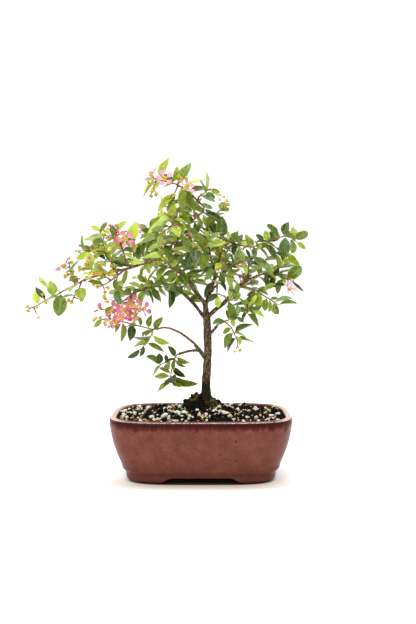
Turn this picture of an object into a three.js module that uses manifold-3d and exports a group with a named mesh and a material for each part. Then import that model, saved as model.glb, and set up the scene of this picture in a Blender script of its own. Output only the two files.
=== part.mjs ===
// Barbados cherry bonsai in its glazed pot, in millimetres with +Z up.
// While it is built, the pot's middle is at x = 0, y = 0 and the table at z = 0; x runs to the right and
// y away from the side that the tree is seen from. At the end the tree is moved so that the middle of its
// box, on the table, is the origin.
import * as THREE from 'three';
import { mergeVertices } from 'three/addons/utils/BufferGeometryUtils.js';
import Module from 'manifold-3d';

const wasm = await Module();
wasm.setup();

// Driving dimensions of the pot.
const POT_HALF_WIDTH = 106.5;
const POT_HALF_DEPTH = 73;
const POT_CORNER = 4; // exponent of the superellipse: 2 is an ellipse, more is squarer
const POT_SIDES = 32;
const FOOT_HEIGHT = 8;
const FLOOR_TOP = 13;
const FOOT_WIDTH = 15;
const FOOT_EDGE = 21;
const FRONT_GAP = [34, 55]; // half width of the gap between two feet, on top and at the table
const SIDE_GAP = [20, 33];
const GAP_CURVE = [6, 8, 1]; // how far its slope's two handles reach out, and their height off the end
const DRAIN_SPACING = 84;
const DRAIN_DIAMETER = 15;
const SCREEN_SIDE = 26;
const SCREEN_THICKNESS = 0.9;
const SCREEN_HOLES = 2;
const SCREEN_BAR = 2;

// The outside of the pot from under the foot to the rim and down inside: inset from the widest outline, z.
const POT_PROFILE = [
  [25, 0], [19.4, 2.6], [18.4, 7], [19.4, 10.2], [14.2, 14.6], [13.6, 19.5], [8.6, 31], [3.4, 47], [0.3, 65],
  [0.2, 71.5], [2.8, 74.8], [6.4, 74.8], [8.8, 71.8],
];
const INSIDE_PROFILE = [[9.6, 66], [15, 40], [30, FLOOR_TOP]];

// Driving dimensions of the soil.
const SOIL_GAP = 0.4;
const SOIL_EDGE = 70.6;
const SOIL_CROWN = 7;
const MOUND_HEIGHT = 18;
const MOUND_CENTRE = [-1, 0];
const MOUND_SPREAD = [15, 17];
const SOIL_LUMP = 1.5;
const SOIL_RINGS = [1, 0.86, 0.68, 0.48, 0.3, 0.15];
const STOCK_RADIUS = 9;
const STOCK_BOTTOM = 50;
const STOCK_GAP = 0.35;

// Driving dimensions of what grows.
const SEAT_GAP = 0.3;
const SEAT_LENGTH = 3;
const SHOOT_RADII = [1.25, 0.8];
const SIDE_SHOOT_RADII = [1, 0.7];
const WOOD_SIDES = 5;
const SPUR_RADIUS = 1.55;
const SPUR_SIDES = 4;
const TRUNK_SIDES = 10;
const SHOOT_SIDES = 3;
const CUT_LENGTH = 1.4;
const LEAST_FACING = -0.3;
const FIRST_PLACE = 0.7;
const STALK_RADIUS = 0.55;
const CALYX_RADIUS = 1.2;
const LEAF_LENGTH = [15, 26];
const LEAF_ASPECT = 0.5;
const LEAF_THICKNESS = 0.8;
const LEAF_FOLD = 0.16;
const LEAF_DROOP = 0.12;
const NECK_ANGLE = 0.75;
const LARGE_LEAF = 22;
const PAIR_SPACING = 11;
const OPEN_PAIR_SPACING = 24;
const SEEN_TRIES = 24;
const PAIRED_TRIES = 24;
const SEEN_KEYS = 1000; // draws: whole numbers set aside for each stem and each shoot
const FIRST_PAIRED_KEY = 50000;
const SHOOT_KEYS = 40;
const LEAF_CLEARANCE = 2.7;
const SHOOT_CLEARANCE = 1.3;
const BLOOM_RADIUS = 9;
const PETAL_THICKNESS = 0.8;
const PETALS = 5;
const STAMEN_HEIGHT = 3.4;
const BLOOM_NECK = 3;
const BUD_LENGTH = 5.4;
const BUD_RADIUS = 1.7;
const BUD_DEPTH = 3;
const BUD_WIDEST = 0.45; // share of its length
const CROWN_CENTRE = new THREE.Vector3(-15, 0, 250);

// Routes are read on the plane y = 0 by an eye at this point. A point at another depth is moved along its
// line of sight, so that the tree keeps its outline from there.
const EYE = new THREE.Vector3(8, -1020, 245);

const UP = new THREE.Vector3(0, 0, 1);

function at(x, z, y = 0) {
  const scale = (y - EYE.y) / -EYE.y;
  return new THREE.Vector3(EYE.x + (x - EYE.x) * scale, y, EYE.z + (z - EYE.z) * scale);
}

// A number from 0 to 1 that depends on nothing but the whole numbers given.
function draw(...keys) {
  let hash = 2166136261;
  for (const key of keys) {
    hash = Math.imul(hash ^ key, 16777619);
    hash ^= hash >>> 15;
    hash = Math.imul(hash, 2246822519);
    hash ^= hash >>> 13;
  }
  return (hash >>> 0) / 4294967296;
}

const mix = (low, high, share) => low + (high - low) * share;

// The value of a list of numbers at a share from 0 to 1 along it, straight between its entries.
function along(values, share) {
  const place = share * (values.length - 1);
  const index = Math.min(Math.floor(place), values.length - 2);
  return mix(values[index], values[index + 1], place - index);
}

// A closed skin over rings of points with equal counts. An end that is a single point closes in a tip, and
// an end ring closes with a flat cap.
function skin(rings) {
  const positions = [];
  const indices = [];
  const starts = rings.map((ring) => {
    const start = positions.length / 3;
    for (const point of ring) {
      positions.push(point.x, point.y, point.z);
    }
    return start;
  });
  const count = Math.max(...rings.map((ring) => ring.length));
  for (let r = 0; r + 1 < rings.length; r++) {
    const below = starts[r];
    const above = starts[r + 1];
    for (let i = 0; i < count; i++) {
      const next = (i + 1) % count;
      if (rings[r].length === 1) {
        indices.push(below, above + next, above + i);
      } else if (rings[r + 1].length === 1) {
        indices.push(below + i, below + next, above);
      } else {
        indices.push(below + i, below + next, above + next);
        indices.push(below + i, above + next, above + i);
      }
    }
  }
  for (const [r, turned] of [[0, true], [rings.length - 1, false]]) {
    for (let i = 1; i + 1 < rings[r].length; i++) {
      const cap = [starts[r], starts[r] + i, starts[r] + i + 1];
      indices.push(...(turned ? cap.reverse() : cap));
    }
  }
  const geometry = new THREE.BufferGeometry();
  geometry.setAttribute('position', new THREE.Float32BufferAttribute(positions, 3));
  geometry.setIndex(indices);
  return geometry;
}

function solid(geometry) {
  const bare = geometry.clone();
  bare.deleteAttribute('normal');
  bare.deleteAttribute('uv');
  const merged = mergeVertices(bare);
  return new wasm.Manifold(new wasm.Mesh({
    numProp: 3,
    vertProperties: new Float32Array(merged.attributes.position.array),
    triVerts: new Uint32Array(merged.index.array),
  }));
}

const fuse = (solids) => solids.reduce((whole, piece) => whole.add(piece));

function toGeometry(manifold) {
  const mesh = manifold.getMesh();
  const geometry = new THREE.BufferGeometry();
  geometry.setAttribute('position', new THREE.Float32BufferAttribute(mesh.vertProperties, 3));
  geometry.setIndex([...mesh.triVerts]);
  return geometry;
}

// The pot, its screens and the soil

function potRing(inset, z) {
  const ring = [];
  for (let i = 0; i < POT_SIDES; i++) {
    const angle = (2 * Math.PI * i) / POT_SIDES;
    const [wide, deep] = [Math.cos(angle), Math.sin(angle)];
    const x = (POT_HALF_WIDTH - inset) * Math.sign(wide) * Math.abs(wide) ** (2 / POT_CORNER);
    const y = (POT_HALF_DEPTH - inset) * Math.sign(deep) * Math.abs(deep) ** (2 / POT_CORNER);
    ring.push(new THREE.Vector3(x, y, z));
  }
  return ring;
}

// The gap between two feet: flat on top, with a soft slope down to the table on each side.
function footGap([topHalf, bottomHalf], length) {
  const [high, low, off] = GAP_CURVE;
  const shape = new THREE.Shape();
  shape.moveTo(-bottomHalf, -off);
  shape.lineTo(-bottomHalf, 0);
  shape.bezierCurveTo(-topHalf - low, off, -topHalf - high, FOOT_HEIGHT - off, -topHalf, FOOT_HEIGHT);
  shape.lineTo(topHalf, FOOT_HEIGHT);
  shape.bezierCurveTo(topHalf + high, FOOT_HEIGHT - off, topHalf + low, off, bottomHalf, 0);
  shape.lineTo(bottomHalf, -off);
  const gap = new THREE.ExtrudeGeometry(shape, { depth: length, bevelEnabled: false, curveSegments: 5 });
  return gap.translate(0, 0, -length / 2).rotateX(Math.PI / 2);
}

function potBody() {
  const rings = [...POT_PROFILE, ...INSIDE_PROFILE].map(([inset, z]) => potRing(inset, z));
  let pot = solid(skin(rings));
  const recess = skin([-1, FOOT_HEIGHT].map((z) => potRing(FOOT_EDGE + FOOT_WIDTH, z)));
  pot = pot.subtract(solid(recess));
  pot = pot.subtract(solid(footGap(FRONT_GAP, 2 * POT_HALF_DEPTH)));
  pot = pot.subtract(solid(footGap(SIDE_GAP, 2 * POT_HALF_WIDTH).rotateZ(Math.PI / 2)));
  for (const x of [-DRAIN_SPACING / 2, DRAIN_SPACING / 2]) {
    const drain = new THREE.CylinderGeometry(DRAIN_DIAMETER / 2, DRAIN_DIAMETER / 2, 2 * FLOOR_TOP, 16);
    pot = pot.subtract(solid(drain.rotateX(Math.PI / 2).translate(x, 0, FLOOR_TOP)));
  }
  return pot;
}

function screenBody(x) {
  const plate = new THREE.BoxGeometry(SCREEN_SIDE, SCREEN_SIDE, SCREEN_THICKNESS);
  const bottom = FLOOR_TOP + SEAT_GAP;
  let screen = solid(plate.translate(x, 0, bottom + SCREEN_THICKNESS / 2));
  const pitch = (SCREEN_SIDE - SCREEN_BAR) / SCREEN_HOLES;
  for (let i = 0; i < SCREEN_HOLES; i++) {
    for (let j = 0; j < SCREEN_HOLES; j++) {
      const hole = new THREE.BoxGeometry(pitch - SCREEN_BAR, pitch - SCREEN_BAR, 4);
      const step = (k) => (k - (SCREEN_HOLES - 1) / 2) * pitch;
      screen = screen.subtract(solid(hole.translate(x + step(i), step(j), bottom)));
    }
  }
  return screen;
}

function soilHeight(x, y, share) {
  const dx = (x - MOUND_CENTRE[0]) / MOUND_SPREAD[0];
  const dy = (y - MOUND_CENTRE[1]) / MOUND_SPREAD[1];
  return SOIL_EDGE + SOIL_CROWN * (1 - share * share) + MOUND_HEIGHT * Math.exp(-dx * dx - dy * dy);
}

function soilBody() {
  const bottom = FLOOR_TOP + SEAT_GAP;
  const walls = INSIDE_PROFILE.slice().reverse().map(([inset, z]) => {
    return potRing(inset + SOIL_GAP, Math.max(z, bottom));
  });
  const edge = potRing(INSIDE_PROFILE[0][0] + SOIL_GAP, SOIL_EDGE);
  const top = SOIL_RINGS.map((share, r) => edge.map((point, i) => {
    const x = point.x * share;
    const y = point.y * share;
    const lump = r === 0 ? 0 : SOIL_LUMP * (2 * draw(r, i, 77) - 1);
    return new THREE.Vector3(x, y, soilHeight(x, y, share) + lump);
  }));
  top.push([new THREE.Vector3(0, 0, soilHeight(0, 0, 0))]);
  let soil = solid(skin([...walls, ...top]));
  const hole = new THREE.CylinderGeometry(STOCK_RADIUS + STOCK_GAP, STOCK_RADIUS + STOCK_GAP, 100, 20);
  const holeBottom = STOCK_BOTTOM - STOCK_GAP;
  soil = soil.subtract(solid(hole.rotateX(Math.PI / 2).translate(TRUNK.route[0][0], 0, holeBottom + 50)));
  for (const x of [-DRAIN_SPACING / 2, DRAIN_SPACING / 2]) {
    const side = SCREEN_SIDE + 2 * SEAT_GAP;
    const height = 2 * (SCREEN_THICKNESS + SEAT_GAP);
    soil = soil.subtract(solid(new THREE.BoxGeometry(side, side, height).translate(x, 0, bottom)));
  }
  return soil;
}

// The wood: each route is a list of x, z and depth; radii run from its start to its end.

const TRUNK = {
  route: [[6, 50, 0], [6, 82, 0], [5.8, 92, 0], [5.6, 107, 0], [7, 125, -1], [8.2, 148, -1], [7.6, 166, 0],
    [7, 184, 0], [6.5, 190, 0]],
  radii: [9, 9, 6.8, 4.9, 4.4, 4.3, 4.3, 4.1, 3.6],
};
const BRANCHES = {
  low_left: {
    route: [[5, 138, 0], [-1, 147, -3], [-9, 157, -7], [-16.5, 163, -11], [-25, 169, -15], [-36.5, 174, -19],
      [-44, 175, -22], [-51, 173.5, -24]],
    radii: [2.2, 1.3],
  },
  low_left_under: { route: [[-1, 147, -3], [-7, 148, 2], [-15, 147, 7], [-25, 144, 11]], radii: [1.5, 1.2] },
  low_right: { route: [[8, 163, 0], [11, 168, -4], [14, 171, -7], [19, 177, -12]], radii: [1.9, 1.3] },
  right: {
    route: [[7, 184, 0], [8, 187.5, 1], [15, 194.5, 3], [27, 204, 6], [36.5, 214.5, 8], [43.5, 222, 10],
      [49.5, 227.5, 11], [54, 231, 12]],
    radii: [2.6, 1.8],
  },
  right_high: { route: [[52, 229.5, 12], [55.3, 233, 12], [55.5, 238, 12]], radii: [1.6, 1.3] },
  right_mid: { route: [[53, 230.5, 12], [59, 233, 16], [65, 235.5, 20]], radii: [1.5, 1.2] },
  right_inner: { route: [[51, 228.5, 11], [50.5, 233, 6], [47.5, 235.5, 2]], radii: [1.4, 1.2] },
  right_low: { route: [[42, 220.5, 9], [47, 223.5, 6], [52, 223, 3]], radii: [1.4, 1.2] },
  right_back: { route: [[34, 212, 7], [37, 217, 16], [40, 219, 22]], radii: [1.4, 1.2] },
  right_front: { route: [[25, 202.5, 5], [29, 206, -3], [32, 207, -9]], radii: [1.4, 1.2] },
  left: {
    route: [[6.5, 184, 0], [4.7, 186, 0], [-1, 193, 4], [-9.5, 204, 9], [-17.5, 212, 14], [-26, 219, 18]],
    radii: [2.4, 1.4],
  },
  back_low: { route: [[-14, 208.5, 12], [-17, 213, 20], [-20, 217, 27]], radii: [1.4, 1.2] },
  centre: { route: [[6.5, 186, 0], [5.5, 195, 0], [5, 204, 0]], radii: [3.6, 2.9] },
  left_centre: {
    route: [[5, 200, 0], [3.5, 204.5, -1], [-1, 210, -3], [-7, 218, -6], [-13, 227.5, -8], [-19, 235.5, -9],
      [-25, 241.5, -10], [-32, 251, -10]],
    radii: [2.3, 1.7],
  },
  front_left: { route: [[-16, 231.5, -9], [-20, 235, -17], [-24, 238, -24]], radii: [1.4, 1.2] },
  back_left: { route: [[-22, 239, -9], [-26, 246, 2], [-29, 251, 10]], radii: [1.4, 1.2] },
  left_long: {
    route: [[-30, 249, -10], [-36, 252.5, -12], [-42.5, 253.5, -14], [-54, 254.5, -17], [-63.5, 252, -19],
      [-73, 248.5, -20], [-83.5, 245, -20], [-93, 243, -19], [-101, 241, -18], [-115, 238, -17],
      [-128, 234.5, -16], [-137, 231, -15]],
    radii: [1.7, 1.1],
  },
  upper_left_inner: { route: [[-82, 245.5, -20], [-86, 249, -23], [-88, 254, -25]], radii: [1.3, 1.1] },
  upper_left_outer: { route: [[-99, 241.5, -18], [-103, 245, -14], [-105, 250, -11]], radii: [1.3, 1.1] },
  left_hanging: { route: [[-90, 243.5, -19], [-95, 239, -24], [-99, 236, -28]], radii: [1.3, 1.1] },
  left_rise: {
    route: [[-31, 250, -10], [-30, 256, -6], [-29.5, 262, -3], [-30, 268.5, 0], [-30.5, 274.5, 3],
      [-28.5, 280.5, 5], [-25, 286.5, 6], [-20, 291, 7], [-13, 298, 7], [-4.7, 305.5, 7], [2.5, 311, 6],
      [3.5, 316, 5], [-1, 321, 4], [-9.5, 329, 3]],
    radii: [1.7, 1.1],
  },
  mid_left: { route: [[-30.4, 271, 1], [-34, 275, 6], [-39, 276, 11]], radii: [1.3, 1.1] },
  back_centre: { route: [[-29.5, 260, -4], [-27, 266, 6], [-23, 271, 15]], radii: [1.3, 1.1] },
  front_top: { route: [[-22, 289, 7], [-24, 293, -2], [-26, 297, -9]], radii: [1.3, 1.1] },
  crown_low: { route: [[-13.5, 297.7, 7], [-17, 301, 2], [-20, 304, -3]], radii: [1.3, 1.1] },
  back_top: { route: [[-6, 304, 7], [-6.5, 308, 14], [-8, 312, 21]], radii: [1.3, 1.1] },
  crown_right: { route: [[-4, 323.5, 3.5], [-3, 328, -1], [0, 330.5, -4]], radii: [1.2, 1.1] },
  right_centre: {
    route: [[5, 201, 0], [6.5, 205, 1], [8.2, 210, 3], [10.6, 217, 6], [13, 225, 9], [16.5, 233.5, 11],
      [17.6, 239, 12]],
    radii: [2.3, 1.9],
  },
  right_rise: {
    route: [[15.5, 231, 10.5], [16.4, 240, 13], [14, 248.5, 15], [10.5, 260.5, 17], [9.4, 271, 18],
      [7, 281, 19]],
    radii: [1.7, 1.3],
  },
  upper_right: {
    route: [[8, 276, 18.5], [11, 282, 16], [16, 283, 13], [22.4, 280.5, 10]],
    radii: [1.3, 1.2],
  },
  centre_mid: { route: [[14.5, 247, 15], [18, 250, 9], [20, 253, 4]], radii: [1.3, 1.1] },
  centre_low: { route: [[11.5, 220, 7], [15, 222, 0], [18, 224, -6]], radii: [1.3, 1.1] },
  front_centre: { route: [[11.3, 258, 16.5], [9, 262, 8], [6, 264, 0]], radii: [1.3, 1.1] },
  back_right: { route: [[10, 265, 17.5], [15, 268, 25], [20, 269, 32]], radii: [1.3, 1.1] },
};

// The leafy stems. Each sits on the end of the branch of its name. The first shoot carries on from that end,
// and each other shoot starts on the nearest point of those before it. A leaf that shows in the outline is
// given as base x, z, tip x, z and the width that is seen; the others are placed by a rule. A bud is x, z,
// and a bloom is x, z, how far it stands in front of its shoot, and the way that it faces.
const SPRAYS = {
  left_long: {
    open: true,
    shoots: [
      [[-145, 226.5, -14], [-154, 222.5, -12], [-164, 217, -10], [-173, 211.5, -10], [-182.5, 207.5, -11],
        [-192, 201.5, -12], [-203, 197, -12]],
      [[-148, 225.5], [-151, 233, -16], [-154, 242, -18], [-155.5, 250, -18]],
      [[-141, 228.5], [-144, 221, -16], [-149, 213, -17], [-152, 206, -17]],
    ],
    leaves: [
      [-165, 216, -168.5, 188, 17], [-174.5, 211, -178, 231, 12], [-166, 216, -192, 232.5, 3.5],
      [-182.5, 207.5, -194, 223.5, 7], [-191, 202, -196.5, 219, 9], [-142, 225, -139.5, 208, 14],
    ],
    buds: [
      [-205, 199.5], [-204, 194.5], [-192.5, 187], [-155.5, 256], [-151, 241.5], [-160, 236], [-149, 222],
      [-156, 207], [-141, 207],
    ],
    blooms: [[-161.5, 246, 5, 'up_left']],
  },
  upper_left_outer: {
    shoots: [
      [[-108, 258, -10], [-112, 266, -10], [-116, 275, -11], [-118, 284, -12], [-119, 290, -12]],
      [[-112, 265], [-122, 264.5, -6], [-133, 265, -4], [-139, 267.5, -3]],
    ],
    leaves: [
      [-118.5, 288.5, -129.5, 296, 6], [-118, 281, -129.5, 283.5, 5], [-116, 274.5, -138, 281.5, 7],
      [-115, 270, -124, 271.5, 5], [-133, 265, -147, 255.5, 8], [-110, 260, -105, 275, 9],
      [-106, 254.5, -82.5, 251, 9],
    ],
    buds: [[-142, 271.5], [-143, 264.5], [-128.5, 270], [-125, 259]],
    blooms: [],
  },
  upper_left_inner: {
    shoots: [
      [[-90, 260, -27], [-93, 268, -28], [-96, 277, -28], [-100, 286, -27], [-103, 292, -26],
        [-104.5, 295.5, -26]],
      [[-93, 268], [-89, 273, -24], [-86, 278, -21]],
    ],
    leaves: [
      [-101.5, 289, -120, 286.5, 5], [-103, 292, -107, 305.5, 5], [-99, 286, -88.5, 301.5, 7],
      [-86, 277, -76.5, 299.5, 13],
    ],
    buds: [[-107, 295], [-110, 281], [-99.5, 295]],
    blooms: [[-88.5, 278, 9, 'front']],
  },
  left_hanging: {
    shoots: [
      [[-105, 231, -31], [-112, 226.5, -33], [-120, 223, -34]],
      [[-106, 231], [-114, 236, -36], [-123, 241, -40], [-131, 246, -42]],
      [[-99.5, 235], [-99, 226, -27], [-99, 218, -26]],
    ],
    leaves: [[-99, 219, -110, 214.5, 6], [-99, 219, -90.5, 210.5, 6], [-99.5, 232, -92, 225, 6]],
    buds: [[-125, 226], [-113, 217], [-135, 250], [-105, 240]],
    blooms: [],
  },
  mid_left: {
    shoots: [
      [[-48, 277, 14], [-57.5, 277, 17], [-67, 274.5, 19], [-73, 270, 20], [-79, 265, 21]],
      [[-56, 277], [-60, 284, 13], [-62, 291, 11]],
      [[-52, 277], [-58, 268, 22], [-65, 260, 26]],
    ],
    leaves: [[-61, 288, -39, 301.5, 10], [-62, 291, -50, 305, 9], [-61.5, 290, -76, 297, 7]],
    buds: [[-83, 262]],
    blooms: [[-75, 287, 4, 'left']],
  },
  left_rise: {
    shoots: [
      [[-18, 336.5, 1], [-27, 342, -1], [-34, 345, -2], [-43.5, 346.5, -3], [-50, 348, -3], [-54, 349, -3]],
      [[-27, 341.5], [-30, 335, -7], [-34, 328, -10], [-38, 321, -12]],
    ],
    leaves: [
      [-46, 347, -40, 376, 9.5], [-49, 348, -69.5, 351.5, 6], [-45, 347, -64, 331.5, 6],
      [-27, 342, -14, 370.5, 12], [-33, 345, -26, 363, 7], [-22, 339.5, 3.5, 353.5, 5],
      [-31, 333, -52, 313.5, 8], [-31, 334, -37, 316, 8], [-22.5, 339.5, -20, 312, 12],
      [-17.5, 336.5, -2.5, 310, 9.5], [-15, 334, 13, 340, 7],
    ],
    buds: [[-61, 345], [-57.5, 334.5], [-42, 318], [-24, 351]],
    blooms: [[-43, 349, 9, 'front'], [-17, 340, 9, 'right'], [-57, 352, 6, 'up_left']],
  },
  crown_right: {
    shoots: [[[3, 332, -6], [7, 335.5, -8], [12, 338, -9]]],
    leaves: [[5, 333.5, 16.5, 326.5, 8], [11, 337.5, 23, 334, 6]],
    buds: [],
    blooms: [],
  },
  crown_low: {
    shoots: [[[-24, 308, -8], [-28.5, 315, -10]]],
    leaves: [[-28, 314, -30, 302, 4], [-26.5, 312, -13, 297, 9], [-22, 305.5, -31, 297, 6]],
    buds: [[-35, 313]],
    blooms: [],
  },
  right_rise: {
    shoots: [[[6.5, 288, 20], [8, 296, 20], [12, 304, 19], [19, 310, 18], [26, 315, 17]]],
    leaves: [[8, 291, 4, 309, 9]],
    buds: [[29, 319]],
    blooms: [],
  },
  upper_right: {
    shoots: [
      [[32, 277, 7], [41, 273.5, 4], [50.5, 271, 1], [58, 269.5, -1], [64, 271, -3], [72, 273.5, -5],
        [81.5, 277, -7], [90.5, 280.5, -8], [97, 282.5, -8], [105, 281.5, -9], [112, 276, -10]],
    ],
    leaves: [
      [32, 277, 32.5, 289, 5], [36, 275.5, 46, 287.5, 3.5], [43, 273, 49, 285, 7], [42, 273, 37, 261, 6],
      [25.5, 279.5, 24.5, 305.5, 14], [111.5, 276, 124, 268.5, 6], [111, 277, 109.5, 294, 9],
      [97, 282.5, 103, 299.5, 10], [91, 280.5, 79, 297, 7], [88, 279.5, 87, 291, 6],
      [81.5, 277, 75.5, 288.5, 8],
      [73.5, 274, 65.5, 285, 6], [57.5, 269.5, 53, 285, 7], [61, 270, 66, 258.5, 6],
    ],
    buds: [[48, 262]],
    blooms: [],
  },
  right_mid: {
    shoots: [
      [[72, 238, 22], [82.5, 240, 24], [88, 237, 25], [96.5, 233.5, 26], [104.5, 231.5, 27]],
      [[84, 240], [92, 246.5, 22], [95, 252, 20], [98, 258, 18], [102.5, 264, 16]],
    ],
    leaves: [
      [104, 231.5, 122, 219, 4], [98.5, 258.5, 99, 281, 14], [102.5, 263.5, 115, 247, 9],
      [88, 237, 79, 221, 8], [96.5, 233.5, 87, 215, 8], [100, 232.5, 113, 239, 7],
    ],
    buds: [[108, 229]],
    blooms: [[104, 220, 12, 'right']],
  },
  right_high: {
    shoots: [[[55.5, 243, 12], [56.5, 252, 11], [59, 260, 10]]],
    leaves: [[58.5, 259.5, 34, 252, 9], [59, 260, 86, 241, 9], [56, 247, 74, 243.5, 6]],
    buds: [[50.5, 251.5]],
    blooms: [],
  },
  right_inner: {
    shoots: [
      [[41, 237.5, -1], [35.5, 243, -4], [31.5, 246.5, -5], [24.5, 253.5, -8]],
      [[33, 245], [40, 251, -6], [49.5, 253.5, -8]],
    ],
    leaves: [[34.5, 243.5, 33, 224, 9], [26, 252, 16, 243, 7]],
    buds: [[26, 259], [44, 246]],
    blooms: [],
  },
  right_low: {
    open: true,
    shoots: [
      [[60, 221, 1], [66, 218, -1], [72, 214, -3], [77.5, 210.5, -4], [83.5, 207, -5], [90.5, 202, -6]],
      [[63, 219.5], [60, 210, -7], [57, 201.5, -10], [54, 193, -12]],
    ],
    leaves: [
      [64.5, 218.5, 54, 211, 6], [65, 218, 68, 196, 11], [57.5, 202.5, 46.5, 207, 5],
      [55, 196, 72, 198.5, 6], [54, 192.5, 69.5, 178, 6], [54, 194, 47, 183, 4.5],
      [77.5, 210.5, 73, 193.5, 9], [86, 205.5, 91.5, 190, 9], [86.5, 205, 106, 212, 5],
      [90.5, 202, 112, 207, 4.5], [57, 201.5, 33, 203.5, 6],
    ],
    buds: [],
    blooms: [],
  },
  low_right: {
    open: true,
    shoots: [
      [[23.5, 179.5, -14], [28.5, 182.5, -15], [35.5, 184.5, -16], [41, 187, -17], [45, 191, -18]],
      [[28, 182.3], [32, 178.5, -18], [35.5, 175.5, -19], [37.5, 171, -20], [40, 166, -21],
        [42.5, 160, -22], [43, 153, -22]],
    ],
    leaves: [
      [31, 183.3, 13.5, 180.5, 6], [38, 185.5, 39, 176, 6], [42, 187.5, 50, 180, 5],
      [36, 174.5, 25, 168, 6], [38, 169.5, 25.5, 151, 9], [41, 163.5, 27, 147, 7],
      [38.5, 168.5, 60.5, 181.5, 7],
      [39, 168, 54, 167, 5], [42, 161, 63.5, 159.5, 5], [33, 183.5, 30, 196, 5], [44, 190, 42, 202, 6],
    ],
    buds: [[40, 147], [46, 148]],
    blooms: [],
  },
  low_left: {
    open: true,
    shoots: [
      [[-56.5, 172.5, -25], [-62.5, 174, -25], [-72, 176.5, -25], [-83.5, 179.5, -24], [-95.5, 182.5, -23],
        [-107, 185, -22], [-118, 184.5, -21]],
      [[-57, 172.4], [-58.5, 166, -28], [-62.5, 159, -30], [-66, 155, -31], [-72, 148.5, -32]],
    ],
    leaves: [
      [-62.5, 174, -59, 190, 7], [-56.5, 172.5, -46, 187.5, 8], [-58.5, 166, -37.5, 155, 7],
      [-64, 157, -42.5, 147.5, 6], [-61, 161.5, -76, 153, 6], [-60, 163.5, -85.5, 159.5, 5],
      [-66, 155, -71.5, 140, 5], [-71.5, 149, -85.5, 137.5, 6], [-82.5, 179.5, -84, 160, 10],
      [-93, 182, -92.5, 157.5, 7], [-104, 184, -105, 172, 5], [-99, 183, -100, 168.5, 5],
      [-71, 176, -75, 189, 5], [-110, 185, -112, 199, 7], [-116, 184.5, -127, 176, 6],
    ],
    buds: [[-124, 186], [-113, 178]],
    blooms: [[-92.5, 189, 12, 'front'], [-77, 190, 11, 'left'], [-104, 193, 7, 'up_left']],
  },
  low_left_under: {
    open: true,
    shoots: [
      [[-29.5, 141.5, 12], [-31, 138.5, 12], [-33, 133, 12], [-34.5, 127, 12], [-35.5, 120, 11],
        [-36, 115, 10], [-36, 109, 9]],
      [[-31.5, 138], [-36.5, 136, 9], [-40, 134, 7], [-48.5, 131, 4]],
    ],
    leaves: [
      [-31, 140, -37.5, 153, 7], [-48, 131, -49.5, 145, 9], [-41, 134, -43, 143, 5],
      [-48.5, 131, -61.5, 142.5, 6],
      [-47, 131.5, -58.5, 119, 4], [-30, 140.5, -13.5, 131.5, 6], [-31.5, 137.5, -20, 126, 4],
      [-34, 129, -20, 113.5, 8], [-36, 116, -4, 105.5, 9], [-36, 117.5, -56, 119.5, 7],
      [-35.5, 120.5, -48.5, 129, 5], [-36, 113, -44, 107.5, 5], [-36, 110, -54, 100, 6],
      [-36, 109.5, -22, 104.5, 5],
    ],
    buds: [],
    blooms: [],
  },
  left: {
    shoots: [
      [[-34, 225, 21], [-47, 226.5, 23], [-60, 222.5, 22], [-74, 218, 18], [-86, 211, 12], [-94, 204.5, 6]],
      [[-60, 222.5], [-66, 229, 26], [-73, 236, 28]],
    ],
    leaves: [
      [-57, 223.5, -48.5, 204, 8], [-51, 225.5, -42, 210.5, 5], [-38, 225.5, -34, 197.5, 9],
      [-45, 226.5, -20, 218.5, 8], [-66, 220.5, -74, 203, 6], [-74, 218, -91, 224, 6],
      [-76, 217, -84, 206, 7],
    ],
    buds: [[-113, 209], [-100, 206]],
    blooms: [[-80, 204, 10, 'front'], [-96.5, 199.5, 9, 'left'], [-68.5, 196, 6, 'right'],
      [-118, 197, 2, 'up_left']],
  },
  centre_mid: {
    shoots: [
      [[21, 256, 0], [23.5, 262, -3], [25, 268, -5]],
      [[21, 256], [29, 254, 6], [37, 252, 12]],
    ],
    leaves: [[21, 256, 17, 272, 6], [22, 258, 31, 247, 6]],
    buds: [[25, 274]],
    blooms: [],
  },
  centre_low: {
    shoots: [
      [[20, 227, -9], [22, 233, -12], [23, 240, -14]],
      [[18.8, 224.5], [18.5, 217, -11], [19, 210, -13]],
    ],
    leaves: [[21.5, 231, 31, 219, 5], [19, 212, 20, 197.5, 8], [18.5, 217, 8, 206, 7]],
    buds: [[19, 244]],
    blooms: [],
  },
  front_left: {
    shoots: [
      [[-28, 241, -30], [-35, 245, -38], [-43, 247, -46]],
      [[-28, 241], [-30, 233, -37], [-34, 226, -42]],
      [[-35, 245], [-40, 254, -42], [-48, 260, -44]],
    ],
    leaves: [],
    buds: [[-49, 250]],
    blooms: [],
  },
  front_centre: {
    shoots: [
      [[2, 266, -8], [-4, 268, -18], [-10, 268, -28]],
      [[2, 266], [6, 272, -18], [9, 279, -24]],
      [[-4, 268], [-14, 262, -24], [-24, 259, -28]],
    ],
    leaves: [],
    buds: [[-4, 261], [3, 257.5]],
    blooms: [],
  },
  back_left: {
    shoots: [
      [[-34, 256, 18], [-43, 262, 30], [-53, 268, 42], [-62, 272, 52]],
      [[-43, 262], [-52, 258, 38], [-62, 255, 46]],
      [[-40, 260], [-46, 270, 32], [-52, 280, 36]],
    ],
    leaves: [],
    buds: [],
    blooms: [],
  },
  back_centre: {
    shoots: [
      [[-19, 276, 24], [-13, 282, 36], [-8, 287, 48], [-4, 290, 58]],
      [[-13, 282], [-22, 287, 42], [-30, 291, 48]],
      [[-15, 280], [-7, 273, 34], [1, 266, 38]],
    ],
    leaves: [],
    buds: [],
    blooms: [],
  },
  back_right: {
    shoots: [
      [[26, 269, 38], [35, 268, 46], [45, 265, 54]],
      [[28, 269], [30, 275, 46], [34, 281, 52]],
      [[33, 268], [27, 259, 46], [22, 250, 50]],
    ],
    leaves: [],
    buds: [],
    blooms: [],
  },
  back_low: {
    shoots: [
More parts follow.
